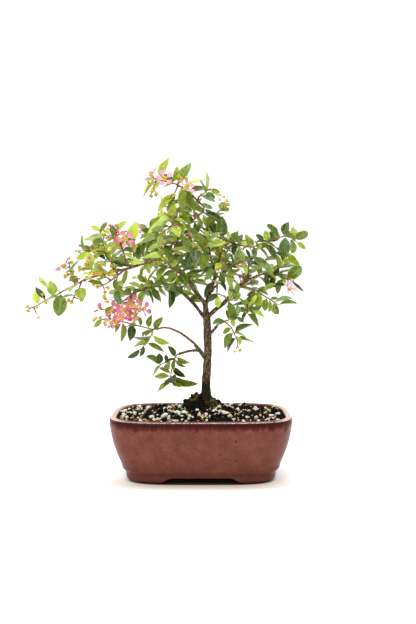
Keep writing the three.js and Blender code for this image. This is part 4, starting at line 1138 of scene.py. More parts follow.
@dataclass
class Blades:
    """Leaf blades, one per row: where each starts, the way it runs and faces, its length and half width."""

    base: Array
    run: Array
    face: Array
    length: Array
    half: Array

    @classmethod
    def joined(cls, lots: Sequence["Blades"]) -> "Blades":
        """Puts lots of blades into one."""
        return cls(*(np.concatenate([getattr(lot, part.name) for lot in lots]) for part in fields(cls)))

    def pick(self, rows: Array) -> "Blades":
        """The blades of some rows."""
        return Blades(*(getattr(self, part.name)[rows] for part in fields(self)))

    def at(self, share: Array, across: Array, lift: Array) -> Array:
        """The points of blades at shares of their lengths, so far across and so far off their faces.

        Args:
            share: From 0 at the base to 1 at the tip, as (blades, rings, points round) or what spreads to it.
            across: In millimetres, to the side where run x face points.
            lift: In millimetres, the way that the blade faces.

        Returns:
            The points as (blades, rings, points round, 3).
        """
        ways = (self.run, np.cross(self.run, self.face), self.face)
        return laid(self.base, ways, (self.length[:, None, None] * share, across, lift))


@dataclass
class StemSolid:
    """The solid of a leafy stem, taken apart: a blade ends in a point over a ring of two edges and a keel."""

    node: str
    thickness: float = 0.8
    fold: float = 0.16
    droop: float = 0.12
    large: float = 22.0
    small_rings: Rows = ((0.36, 0.92), (0.72, 0.8))
    large_rings: Rows = ((0.27, 0.74), (0.52, 1.0), (0.79, 0.68))
    bud_radius: float = 1.7
    bud_reach: float = 2.97
    near: float = 0.02
    exact: float = 0.004

    def __post_init__(self) -> None:
        """Reads the solid, finds the points with just three neighbours that are joined to one another."""
        self.points, self.triangles = welded(self.node)
        count = len(self.points)
        sides = np.concatenate([np.roll(self.triangles, -turn, axis=1)[:, :2] for turn in range(3)])
        sides = np.unique(np.concatenate([sides, sides[:, ::-1]]), axis=0)
        valence = np.bincount(sides[:, 0], minlength=count)
        start = np.concatenate([[0], np.cumsum(valence)])
        tips = np.flatnonzero(valence == 3)
        rings = sides[start[tips][:, None] + np.arange(3), 1]
        pairs = rings * count + np.roll(rings, -1, axis=1)
        joined = np.isin(pairs, sides[:, 0] * count + sides[:, 1]).all(axis=1)
        self.tips, self.rings = tips[joined], rings[joined]
        self.gone = np.zeros(count, dtype=bool)

    def blades(self) -> Blades:
        """Works out each blade from its tip and its last ring.

        The keel lies thickness + fold · half width below the middle of the two edges, which gives the face.
        The tip's advance from there gives the length, and its fall tells a small blade from a large one.

        Returns:
            The blades.
        """
        found = []
        tip = self.points[self.tips]
        for turn in range(3):
            keel, left, right = self.points[np.roll(self.rings, -turn, axis=1)].transpose(1, 0, 2)
            middle = (left + right) / 2
            half = np.linalg.norm(left - right, axis=1) / 2
            depth = np.linalg.norm(middle - keel, axis=1)
            face, side = unit(middle - keel), unit(left - right)
            run = np.cross(face, side)
            advance = ((tip - middle) * run).sum(axis=1)
            run *= np.sign(advance)[:, None]
            fall = ((tip - middle) * face).sum(axis=1)
            fits = np.abs(depth - self.thickness - self.fold * half) < self.near
            fits &= np.abs((face * side).sum(axis=1)) < self.near
            for outline, is_large in ((self.small_rings, False), (self.large_rings, True)):
                share, wide = outline[-1]
                length = np.abs(advance) / (1 - share)
                expected = -self.droop * length * (1 - share ** 2) - self.fold * half
                good = fits & (np.abs(fall - expected) < self.exact) & ((length > self.large) == is_large)
                base = tip - run * length[:, None] + face * (self.droop * length)[:, None]
                found.append(Blades(base, run, face, length, half / wide).pick(good))
                for at, width in outline:
                    self.forget(found[-1], at, width)
        return Blades.joined(found)

    def forget(self, blades: Blades, share: float, width: float) -> None:
        """Marks the points of blades' rings, and of their tips, as no part of the bare shoots."""
        length, edge = blades.length[:, None, None], blades.half[:, None, None] * width
        sag = self.droop * length * share ** 2
        across = edge * np.array([0, -1, 1])
        lift = np.where(across == 0, -sag - self.thickness, self.fold * edge - sag)
        spots = [blades.at(share, across, lift), blades.at(1.0, 0 * edge, -self.droop * length)]
        spots = np.concatenate([spot.reshape(-1, 3) for spot in spots])
        self.gone |= (gaps(spots, self.points) < self.near).any(axis=0)

    def buds(self) -> tuple[Array, Array]:
        """The buds' widest places and the ways that they point.

        Returns:
            Centres and directions.
        """
        ring = self.points[self.rings]
        centre = ring.mean(axis=1)
        reach = self.points[self.tips] - centre
        round_ring = np.abs(np.linalg.norm(ring - centre[:, None], axis=2) - self.bud_radius) < self.near
        fits = round_ring.all(axis=1) & (np.abs(np.linalg.norm(reach, axis=1) - self.bud_reach) < self.near)
        self.gone[self.tips[fits]] = True
        self.gone[self.rings[fits].ravel()] = True
        return centre[fits], unit(reach[fits])

    def shoots(self) -> Array:
        """The triangles of the shoots and stalks alone."""
        return self.triangles[~self.gone[self.triangles].any(axis=1)]

    def bare(self) -> bpy.types.Mesh:
        """The shoots and stalks alone, closed where the blades and buds grew."""
        used, rows = np.unique(self.shoots(), return_inverse=True)
        made = Skin(self.points[used], [rows.reshape(-1, 3)]).mesh(self.node + "_bare")
        shoots = bmesh.new()
        shoots.from_mesh(made)
        bmesh.ops.holes_fill(shoots, edges=shoots.edges, sides=6)
        bmesh.ops.recalc_face_normals(shoots, faces=shoots.faces)
        shoots.to_mesh(made)
        shoots.free()
        return made


def on_skin(points: Array, triangles: Array, count: int, seed: int) -> tuple[Array, Array]:
    """Even spots on a skin of triangles.

    Args:
        points: The skin's points.
        triangles: Its triangles.
        count: How many spots.
        seed: For the draws.

    Returns:
        The spots, and the way out of the skin at each.
    """
    drawn = np.random.default_rng(seed)
    first, second, third = (points[triangles[:, k]] for k in range(3))
    cross = np.cross(second - first, third - first)
    area = np.linalg.norm(cross, axis=1)
    pick = drawn.choice(len(triangles), count, p=area / area.sum())
    share = np.sort(drawn.random((2, count, 1)), axis=0)
    spots = first[pick] * share[0] + second[pick] * (share[1] - share[0]) + third[pick] * (1 - share[1])
    return spots, unit(cross)[pick]


@dataclass(frozen=True)
class Daylight:
    """Painted light and shade on leaves: how bright and how cool they look, by the part of the crown.

    A part is x, z, a reach and a tone, which paints the crown lighter high up and on the left and darker
    low down. Leaves near the places of young, cool and deep ones stand out; deep ones get painted shade.
    """

    parts: Rows = (
        (-70, 265, 40, 0.66), (0, 345, 36, 0.8), (-25, 280, 34, 0.56), (30, 262, 34, 0.54),
        (55, 320, 30, 0.52), (115, 255, 42, 0.42), (130, 205, 30, 0.44), (-50, 165, 36, 0.34),
        (5, 125, 34, 0.3), (-135, 195, 30, 0.42),
    )
    young: Rows = (
        (-1, 365), (-19, 354), (-15, 339), (16, 298), (1, 299), (153, 284), (161, 274), (141, 204),
        (152, 214), (106, 271), (135, 218), (-64, 299), (-52, 297), (-70, 288), (-92, 278), (-99, 260),
        (-71, 269), (-65, 266), (-31, 211), (-8, 119), (-2, 126), (-4, 106), (13, 108), (61, 262),
        (40, 265), (64, 249), (36, 274), (-69, 193),
    )
    cool: Rows = (
        (48, 240), (49, 219), (46, 328), (49, 320), (21, 316), (87, 257), (145, 240), (139, 207),
        (-63, 174), (-51, 252), (-82, 237), (101, 217), (113, 252), (-34, 218), (55, 278), (28, 252),
    )
    # painted shade: leaves seen near these places, deep in the crown, are darker
    deep: Rows = (
        (17, 361), (39, 342), (64, 298), (132, 276), (114, 217), (98, 214), (104, 183), (73, 164),
        (3, 211), (-96, 223), (-126, 203), (9, 223),
    )
    reach: float = 5.5
    variety: float = 0.26

    def falls(self, spots: Array, drawn: np.random.Generator) -> tuple[Array, Array]:
        """The tone of leaves, as painted light and shade, by where their middles are seen: a mean of the
        parts' by exp(-(off / reach)²).

        Args:
            spots: The middles as rows of x and z.
            drawn: For the draws.

        Returns:
            How bright each leaf is, and how cool, from 0 to 1.
        """
        parts = np.array(self.parts)
        weight = np.exp(-(gaps(spots, parts[:, :2]) / parts[:, 2]) ** 2) + 1e-6
        tone = (weight * parts[:, 3]).sum(axis=1) / weight.sum(axis=1)
        tone = tone + drawn.normal(0, self.variety, len(spots))
        cool = drawn.random(len(spots)) ** 7
        blue, bright, dark = (
            (gaps(spots, np.array(places)) < self.reach).any(axis=1)
            for places in (self.cool, self.young, self.deep)
        )
        cool = np.where(bright, 0, np.where(blue, 0.8, cool))
        # Painted shade: leaves near the deep places are darkened.
        tone = np.where(dark, 0.3 + 0.4 * (tone - 0.5), tone)
        return np.clip(np.where(bright, 0.74 + 0.4 * (tone - 0.5), tone), 0, 1), cool


@dataclass
class Filling:
    """Leaves between those of the solids, which close the crown as in the photograph, each on a shoot.

    A lobe is x, z, half its width and height, and a number of leaves. A leaf that is set out is the x and z
    of its foot and of its tip, and half its width. A limb is the x and z of its two ends.
    """

    lobes: Rows = (
        (34, 264, 58, 30, 86), (-60, 262, 30, 24, 30), (112, 250, 33, 30, 44), (22, 310, 27, 15, 14),
        (-12, 264, 28, 22, 34), (-18, 224, 20, 12, 12), (100, 203, 14, 11, 9), (40, 222, 16, 12, 8),
    )
    set_out: Rows = (
        (-9, 352, -28, 350, 2.6), (36, 332, 58, 324, 3.6), (39, 321, 55, 316, 3.4),
        (46, 308, 70, 296, 5.4), (49, 301, 61, 284, 5.4), (147, 232, 163, 219, 2.0),
        (-21, 165, -35, 155, 2.5), (-17, 172, -25, 166, 2.6), (-47, 242, -53, 225, 3.0),
        (-42, 250, -61, 259, 3.8), (-73, 259, -58, 274, 4.4), (-68, 277, -95, 280, 3.2),
        (-27, 218, -34, 204, 3.0), (-63, 200, -72, 192, 4.0), (56, 248, 44, 231, 4.8),
        (59, 253, 62, 270, 2.8), (53, 230, 45, 211, 4.6), (109, 217, 94, 193, 5.6),
        (82, 194, 72, 201, 2.8), (88, 194, 75, 187, 2.6), (4, 301, -23, 287, 5.2),
        (17, 280, -9, 281, 3.9), (-4, 285, -31, 275, 4.4), (4, 274, -24, 267, 4.2),
        (17, 284, 34, 262, 4.8), (28, 293, 45, 271, 4.2), (23, 218, -4, 228, 4.2),
    )
    limbs: Rows = ((43, 189, 14, 219), (47, 201, 17, 241), (48, 205, 59, 237), (52, 188, 87, 222))
    behind: float = 10.0
    tries: int = 20
    length: tuple[float, float] = (12.0, 23.0)
    slim: tuple[float, float] = (0.17, 0.24)
    clear: float = 3.0
    front: float = 0.1
    droop: float = 0.12
    along: tuple[float, ...] = (0.35, 0.65, 0.95)

    def spots(self, blades: Blades) -> Array:
        """Places along the middle of each blade, as (blades, places, 3)."""
        share = np.array(self.along)[:, None]
        sag = self.droop * blades.length[:, None, None] * share ** 2
        return blades.at(share, 0 * sag, -sag)[:, :, 0]

    def placed(self, seats: Array) -> tuple[Blades, Array]:
        """The leaves that are set out one by one, each from the seat that is seen nearest to its foot.

        Args:
            seats: Spots on the shoots.

        Returns:
            The leaves, and the seat's number of each.
        """
        rows = np.array(self.set_out)
        chosen = np.argmin(gaps(rows[:, :2], as_seen(seats)) + self.front * seats[:, 1], axis=1)
        base = seats[chosen]
        way = in_sight(rows[:, 2:4], base[:, 1] - 5) - base
        run = unit(way)
        face = square_to(np.broadcast_to([0.0, -0.8, 0.6], run.shape), run)
        return Blades(base, run, face, np.linalg.norm(way, axis=1), rows[:, 4]), chosen

    def hides(self, spots: Array, half: Array) -> Array:
        """Whether each leaf, given by its places and half width, is seen in front of a limb of the fork."""
        limbs = np.array(self.limbs)
        start, way = limbs[:, :2], limbs[:, 2:] - limbs[:, :2]
        reach = as_seen(spots.reshape(-1, 3))[:, None] - start
        share = np.clip((reach * way).sum(axis=2) / (way ** 2).sum(axis=1), 0, 1)
        off = np.linalg.norm(reach - share[..., None] * way, axis=2).min(axis=1).reshape(spots.shape[:2])
        return (off.min(axis=1) < half + 1.5) & (spots[:, 1, 1] < self.behind)

    def tried(
        self, lobe: Sequence[float], seats: Array, drawn: np.random.Generator
    ) -> tuple[Blades, Array, Array]:
        """Draws a few leaves in a lobe, each at a spot of its ellipse and from a seat about half a leaf away.

        Args:
            lobe: The ellipse's middle x and z, its half width and its half height.
            seats: Spots on the shoots.
            drawn: For the draws.

        Returns:
            The leaves, the seat's number of each, and how far off its spot the seat is seen.
        """
        x, z, wide, high = lobe
        turn = drawn.uniform(0, 2 * np.pi, self.tries)
        reach = np.sqrt(drawn.random(self.tries))
        spot = np.stack([x + wide * reach * np.cos(turn), z + high * reach * np.sin(turn)], axis=1)
        off = np.linalg.norm((as_seen(seats)[None] - spot[:, None]) * (0.8, 1.3), axis=2)
        seat = np.argmin(np.abs(off - 8) + 9 * drawn.random(off.shape), axis=1)
        base = seats[seat]
        way = in_sight(spot, base[:, 1] + drawn.uniform(-3, 9, self.tries)) - base
        run = unit(way)
        length = np.linalg.norm(way, axis=1) * drawn.uniform(1.5, 1.9, self.tries)
        length = np.clip(length, *self.length)
        lean = np.array([0.0, -0.6, 0.8]) + drawn.normal(0, 0.35, (self.tries, 3))
        half = length * drawn.uniform(*self.slim, self.tries)
        return Blades(base, run, square_to(lean, run), length, half), seat, off[np.arange(self.tries), seat]

    def grow(self, seats: Array, blades: Blades) -> tuple[Blades, Array]:
        """Grows the leaves that are set out, then those of the lobes.

        Of a few tries, the one furthest from the leaves beside it is taken, as the camera sees them. One that
        comes nearer than a few millimetres to another leaf counts for less, and so does one that hides a limb
        of the fork.

        Args:
            seats: Spots on the shoots.
            blades: The leaves that are there.

        Returns:
            The new leaves, and the seat's number of each.
        """
        drawn = np.random.default_rng(77)
        first, picked = self.placed(seats)
        taken = np.concatenate([self.spots(blades), self.spots(first)])
        grown, chosen = [first], list(picked)
        for *lobe, leaves in self.lobes:
            for _ in range(leaves):
                new, seat, off = self.tried(lobe, seats, drawn)
                line = self.spots(new)
                near = gaps(line, taken.reshape(-1, 3)).min(axis=(1, 2)) < self.clear
                worth = gaps(as_seen(line[:, 1]), as_seen(taken[:, 1])).min(axis=1)
                worth -= 6 * near + 0.5 * np.maximum(off - 14, 0)
                best = np.argmax(worth - 12 * self.hides(line, new.half))
                grown.append(new.pick([best]))
                chosen.append(seat[best])
                taken = np.concatenate([taken, line[[best]]])
        return Blades.joined(grown), np.array(chosen)


class Head(Enum):
    """What stands on a thin stalk: a small flower, a spent one's calyx, a pink bud, or a brown seed bud."""

    FLOWER = "flower"
    CALYX = "calyx"
    PINK = "pink"
    BROWN = "brown"


@dataclass
class Clusters:
    """Small flowers, spent ones and buds on thin stalks: the x and z where each is seen, and how many."""

    spots: dict[Head, Rows] = field(default_factory=lambda: {
        Head.CALYX: (
            (-53.3, 284.4, 2), (-85.4, 268.8, 4), (-64.7, 261, 4), (-36.5, 268, 3), (-58.9, 248.1, 4),
            (-98.3, 247.5, 4), (-84.8, 245.1, 5), (-91.9, 236.9, 4), (-64.9, 237.5, 4), (-79, 240.4, 4),
            (-114.8, 253, 2), (-112.1, 241.4, 2), (-118.9, 234.6, 1), (-111.5, 204.7, 1), (-100, 207.4, 1),
            (-85.6, 183.6, 1), (-79.1, 227.5, 2), (-68.5, 221.6, 1), (-74.2, 251, 3), (-18, 349.7, 2),
            (17.7, 349.2, 3), (-15.1, 332.9, 2), (-10.5, 329.4, 2), (8.3, 331.7, 2), (24.7, 338.1, 2),
            (7.1, 313, 1), (69.8, 317.7, 2), (17.6, 308.4, 1), (-72.1, 208.6, 2), (-56.2, 199.2, 2),
            (-39.2, 197.4, 2), (-60.4, 187.4, 2), (-51.6, 186.8, 1), (-36.8, 186.8, 2), (-32.1, 194.5, 1),
            (-73.4, 186.2, 2), (-139.5, 207.3, 2), (-152.9, 198.8, 1), (39.7, 265.5, 1), (65.5, 267.6, 2),
            (59.2, 243.9, 1), (-2.4, 275.6, 1),
        ),
        Head.PINK: (
            (-58.1, 289.1, 2), (30.7, 250.9, 1), (36.5, 260.8, 1), (45.7, 257.4, 1), (46.7, 247.9, 1),
            (67.7, 249.6, 1), (84, 246.6, 1), (91.9, 251.9, 1), (80.8, 238.6, 1), (12.6, 294.1, 1),
            (29.3, 284.2, 1), (-57.6, 278, 2), (-63.5, 267.4, 1), (-90.6, 256.9, 1),
        ),
        Head.BROWN: (
            (-98.8, 267.4, 2), (61, 325.9, 3), (-68.1, 288.5, 2), (-69.9, 279.7, 2), (-108.5, 229.8, 3),
            (88.2, 228.6, 1), (60.8, 239.2, 1),
        ),
        Head.FLOWER: (
            (-41.1, 205.9, 1), (-42.1, 189.7, 1), (-45.6, 197.4, 1), (-51, 195.6, 1), (-58, 194.5, 1),
            (-54.5, 188.6, 1), (-63.4, 180.9, 1), (-56.9, 181.5, 1), (-48, 203.3, 1), (-38, 196.8, 1),
        ),
    })
    spread: float = 3.6
    front: float = 0.22
    stalk: tuple[float, ...] = (0.5, 0.44, 0.42, 0.42, 0.44, 0.52)

    def grow(self, seats: Array) -> tuple[Skin, dict[Head, tuple[Array, Array]]]:
        """Takes each spot's seat, near it and well in front, and sends a bowed stalk from it to every head.

        A stalk is seat · (1 - t)² + control · 2t(1 - t) + head · t², with the control above the middle.

        Args:
            seats: Spots on the shoots.

        Returns:
            The stalks, and the places and ways of the heads of each kind.
        """
        drawn = np.random.default_rng(5)
        shown = as_seen(seats)
        t = np.linspace(0, 1, len(self.stalk))[None, :, None]
        paths, heads = [], {}
        for kind, rows in self.spots.items():
            many = np.array([row[2] for row in rows])
            spots, many = np.repeat(np.array(rows)[:, :2], many, axis=0), np.repeat(many, many)
            off = np.abs(gaps(spots, shown) - 4)
            seat = seats[np.argmin(off + self.front * seats[:, 1], axis=1)]
            spots = spots + drawn.normal(0, self.spread, spots.shape) * (many > 1)[:, None]
            head = in_sight(spots, seat[:, 1] - drawn.uniform(1, 6, len(seat)))
            control = (seat + head) / 2 + drawn.normal(0, 1.6, head.shape) + (0, 0, 1.2)
            path = seat[:, None] * (1 - t) ** 2 + control[:, None] * 2 * t * (1 - t) + head[:, None] * t ** 2
            paths.append(path)
            heads[kind] = (head, unit(unit(path[:, -1] - path[:, -2]) + (0, -0.6, 0.2)))
        return tubes(np.concatenate(paths), np.array(self.stalk), 5), heads


@dataclass
class Foliage:
    """The leaves of all stems: thin blades with a stalk, a folded and slightly waved surface, a rib below."""

    shares: tuple[float, ...] = (0.02, 0.09, 0.13, 0.24, 0.38, 0.53, 0.68, 0.81, 0.91, 0.975)
    section: tuple[float, ...] = (0, 0.5, 1, 0.55, 0, -0.55, -1, -0.5)
    below: tuple[float, ...] = (0, 0, 0.35, 1, 1, 1, 0.35, 0)
    outline: Rows = (
        (0, 0), (0.04, 0.33), (0.14, 0.73), (0.28, 0.97), (0.4, 1), (0.56, 0.93), (0.7, 0.74),
        (0.84, 0.44), (0.94, 0.16), (1, 0),
    )
    blunt: Rows = (
        (0, 0), (0.04, 0.27), (0.14, 0.62), (0.28, 0.88), (0.42, 1), (0.58, 1), (0.72, 0.92),
        (0.84, 0.74), (0.93, 0.5), (0.97, 0.32), (1, 0),
    )
    blunt_from: float = 112.0
    stalk: float = 0.42
    blade_start: float = 0.1
    thickness: float = 0.34
    rib: float = 0.4
    droop: float = 0.12
    light: Daylight = Daylight()

    def skin(self, blades: Blades, seed: int) -> Skin:
        """Blades carried along their runs.

        lift = fold · |across|^1.3 - droop · length · share² + waves, and less the thickness below.
        The half width follows the outline between the stalk's end and the tip, t from 0 to 1. The tip is
        pointed or round, and most often round on the right.

        Args:
            blades: The leaves.
            seed: For the draws.

        Returns:
            The leaves as one skin.
        """
        drawn = np.random.default_rng(seed)
        one_each = (len(blades.length), 1, 1)
        length = blades.length[:, None, None]
        share, section, below = np.array(self.shares), np.array(self.section), np.array(self.below)
        t = np.clip((share - self.blade_start) / (1 - self.blade_start), 0, 1)
        spots = as_seen(blades.base + blades.run * length[:, 0] * 0.55)
        blunt = np.clip(drawn.normal(0.2, 0.3, one_each[:2]) + 0.45 * (spots[:, :1] > self.blunt_from), 0, 1)
        outline = np.interp(t, *np.array(self.outline).T) * (1 - blunt)
        outline = outline + np.interp(t, *np.array(self.blunt).T) * blunt
        half = np.maximum(blades.half[:, None] * outline * 1.02, self.stalk * (1 - 0.5 * t))
        across = section * half[..., None]
        fold = drawn.uniform(0.16, 0.46, one_each)
        droop = self.droop + drawn.uniform(-0.04, 0.08, one_each)
        along = share[:, None]
        depth = drawn.uniform(0.2, 0.9, one_each)
        phase = 2 * np.pi * (drawn.uniform(1.2, 2.2, one_each) * along + drawn.random(one_each))
        wave = depth * np.sin(phase + 1.4 * np.sign(section))
        flat = np.clip((along - self.blade_start) / 0.1, 0, 1)
        folded = fold * np.abs(across) ** 1.3 / np.maximum(blades.half[:, None, None], 1) ** 0.3
        lift = flat * (folded + wave * section ** 2 * 0.6) - droop * length * along ** 2
        thick = self.thickness + self.rib * (section == 0)
        round_stalk = (1 - flat) * 2 * self.stalk * (1 - section ** 2)
        lift = lift - below * (flat * thick + round_stalk)
        bend = drawn.normal(0, 0.2, one_each) * length * (along ** 2 - along)
        tip = blades.base + blades.run * length[:, 0] - blades.face * (droop * length)[:, 0]
        made = carried(blades.at(along, across + bend, lift), blades.base, tip)
        # The painted light and shade of each leaf, by its part of the crown.
        tone, cool = self.light.falls(spots, drawn)
        under = np.pad(np.tile(below == 1, len(share)), 1).astype(float)
        made.marks["blade"] = blade_marks(section, share, tone)
        made.marks["under"] = np.tile(under, len(tone))
        made.marks["cool"] = np.repeat(cool, len(under))
        return made


class Budding(Enum):
    """The kinds of small waxy things, as the place of their colour in the bud finish."""

    CALYX = 0.08
    OLIVE = 0.25
    PINK = 0.42
    ANTHER = 0.58
    OVARY = 0.75
    BROWN = 0.92


@dataclass
class Bloom:
    """One flower: five clawed spoon petals with frilled edges, ten stamens round an ovary, and a calyx."""

    centre: Array
    facing: Array
    out: Array
    cup: Array
    faded: float
    radius: float = 9.0
    stamen_height: float = 3.4
    reach: float = 1.12
    shares: tuple[float, ...] = (0.12, 0.24, 0.36, 0.44, 0.52, 0.62, 0.73, 0.84, 0.93, 0.985)
    halves: tuple[float, ...] = (0.07, 0.055, 0.06, 0.12, 0.21, 0.3, 0.35, 0.33, 0.24, 0.12)
    section: tuple[float, ...] = (0, 0.35, 0.7, 1, 0.6, 0, -0.6, -1, -0.7, -0.35)
    below: tuple[float, ...] = (0, 0, 0, 0.5, 1, 1, 1, 0.5, 0, 0)
    thickness: float = 0.24
    thread: Rows = ((0, 0.1), (0.05, 0.16), (1.1, 0.14), (2.0, 0.12), (2.2, 0.1))
    anther: Rows = ((-0.8, 0), (-0.45, 0.56), (0.1, 0.68), (0.6, 0.48), (0.8, 0))
    ovary: Rows = ((-0.9, 0), (-0.6, 0.8), (0.2, 1.0), (1.0, 0.6), (1.3, 0))
    gland: Rows = ((-0.7, 0), (-0.4, 0.6), (0.2, 0.72), (0.7, 0.5), (0.9, 0))

    @classmethod
    def of_solid(cls, node: str, petals: int = 5, radius: float = 9.0) -> "Bloom":
        """Reads a flower's centre, the way it faces and its petals' directions off its solid.

        The two points with the most neighbours are the centre and the top; the ring next to the centre starts
        about 1 mm above it, and its furthest points are the petals' ends.

        Args:
            node: The solid's name, whose start says how far the flower has faded to lilac.
            petals: How many petals it has.
            radius: How far they reach.

        Returns:
            The flower.
        """
        known = {
            "bloom_right_mid": 0.95, "bloom_left_rise": 0.5, "bloom_mid_left": 0.55, "bloom_left_long": 0.3,
        }
        faded = next((share for start, share in known.items() if node.startswith(start)), 0.12)
        points, triangles = welded(node)
        ends = np.argsort(np.bincount(triangles.ravel()))[-2:]
        for centre, top in (ends, ends[::-1]):
            facing = unit(points[top] - points[centre])
            ring = np.unique(triangles[(triangles == centre).any(axis=1)])
            ring = points[ring[ring != centre]] - points[centre]
            rise = ring @ facing
            if 0.9 < rise.min() < 1.25:
                out = ring - rise[:, None] * facing
                reach = np.linalg.norm(out, axis=1)
                tips = np.argsort(reach)[-petals:]
                cup = (rise[tips] - 1) / (reach[tips] ** 2 / radius)
                return cls(points[centre], facing, unit(out[tips]), cup, faded, radius)
        raise ValueError(f"{node} isn't a flower")

    @classmethod
    def half_open(cls, centre: Array, facing: Array, drawn: np.random.Generator) -> "Bloom":
        """A smaller flower with cupped petals at about even turns."""
        out = rays(facing, UPWARD, drawn.uniform(0, 6) + turns(5) + drawn.normal(0, 0.15, 5))
        cup, faded, radius = drawn.uniform(0.1, 0.7, 5), drawn.uniform(0, 0.4), drawn.uniform(4.6, 6.2)
        return cls(centre, facing, out, cup, faded, radius)

    def petal_skin(self, seed: int) -> Skin:
        """Petals carried outward, at a height of 1 + cup · r² / radius + a spoon, a frill and a wavy rim.

        Args:
            seed: For the draws.

        Returns:
            The petals as one skin.
        """
        drawn = np.random.default_rng(seed)
        section, share = np.array(self.section), np.array(self.shares)
        along, one_each = share[:, None], (len(self.out), 1, 1)
        half = self.radius * np.array(self.halves)[:, None] * drawn.uniform(0.92, 1.06, one_each)
        across = half * section
        limb = np.clip((along - 0.3) / 0.3, 0, 1)
        spoon = 0.1 * across ** 2 / 2
        frill = 0.45 * np.sin(9 * section + 11 * along + drawn.uniform(0, 6, one_each)) * section ** 2
        rim = 0.5 * np.sin(5 * section + drawn.uniform(0, 6, one_each)) * np.clip((along - 0.75) / 0.25, 0, 1)
        reach = self.radius * self.reach * along + 0.3 * frill * limb
        twist = drawn.normal(0, 0.45, one_each) * limb
        lift = 1 + self.cup[:, None, None] * reach ** 2 / self.radius + limb * (spoon + frill + rim)
        lift = lift - np.array(self.below) * self.thickness + across * np.sin(twist)
        centre, facing = (np.broadcast_to(way, self.out.shape) for way in (self.centre, self.facing))
        ways = (self.out, np.cross(self.out, facing), facing)
        rings = laid(centre, ways, (reach, across * np.cos(twist), lift))
        tip = self.radius * (self.reach + 0.01)
        last = self.centre + self.out * tip + self.facing * (1 + self.cup * tip ** 2 / self.radius)[:, None]
        made = carried(rings, centre + facing * 0.9 + self.out * 0.5, last)
        tone = np.clip(self.faded + drawn.uniform(-0.12, 0.2, one_each), 0, 1)
        made.marks["blade"] = blade_marks(section, share, tone.ravel())
        return made

    def heart(self) -> list[Skin]:
        """Ten stamens on short threads round an ovary, and ten glands on the calyx behind."""
        ray = rays(self.facing, UPWARD, turns(10))
        lean = unit(ray * 0.45 + self.facing)
        foot = self.centre + self.facing * 0.8 + ray * 0.7
        height = (self.stamen_height - 0.9) + 0.35 * (np.arange(10) % 2)[:, None]
        middle = (self.centre + self.facing * 1.3)[None]
        behind = self.centre + ray * 1.35 - self.facing * 0.25
        return [
            beads(foot, lean, self.thread, 5).marked(Budding.OVARY),
            beads(foot + lean * height, lean, self.anther, 6).marked(Budding.ANTHER),
            beads(middle, self.facing[None], self.ovary, 8).marked(Budding.ANTHER),
            beads(behind, unit(ray + 0.4 * self.facing), self.gland, 6).marked(Budding.CALYX),
        ]


@dataclass
class Heads:
    """The small waxy things at the ends of the stalks."""

    glands: int = 8
    ring: float = 1.55
    gland: Rows = ((-0.9, 0), (-0.55, 0.66), (0.2, 0.85), (0.8, 0.55), (1.05, 0))
    dome: Rows = ((-1.3, 0), (-0.9, 0.9), (0.2, 1.35), (1.2, 0.95), (1.7, 0))
    bud: Rows = (
        (-2.6, 0), (-2.3, 0.6), (-1.5, 1.3), (-0.4, 1.7), (0.8, 1.6), (1.9, 1.05), (2.6, 0.45), (2.95, 0),
    )
    seed_bud: Rows = ((-1.4, 0), (-1.0, 0.85), (0, 1.25), (0.9, 0.85), (1.3, 0))

    def calyxes(self, centres: Array, ways: Array) -> list[Skin]:
        """Spent flowers: a ring of swollen glands round a small dome, a little uneven by where it stands."""
        ray = rays(ways, UPWARD, turns(self.glands))
        uneven = bumps((centres[:, None] + 9 * ray).reshape(-1, 3), 2.3, 9).reshape(ray.shape[:2])
        spots = centres[:, None] + ray * (self.ring * (1 + 0.25 * uneven))[..., None]
        around = unit(0.5 * ray + ways[:, None])
        ring = beads(spots.reshape(-1, 3), around.reshape(-1, 3), self.gland, 6)
        olive = bumps(ring.points, 2.6, 4) > 0.05
        ring.marks["kind"] = np.where(olive, Budding.OLIVE.value, Budding.CALYX.value)
        dome = beads(centres + 0.5 * ways, ways, self.dome, 7)
        lively = bumps(np.repeat(centres, len(dome.points) // len(centres), axis=0), 3.0, 6) > 0.1
        dome.marks["kind"] = np.where(lively, Budding.ANTHER.value, Budding.OVARY.value)
        return [ring, dome]

    def plain(self, centres: Array, ways: Array, kind: Budding) -> Skin:
        """Closed buds of one colour; brown ones are smaller and rounder."""
        return beads(centres, ways, self.seed_bud if kind is Budding.BROWN else self.bud, 8).marked(kind)


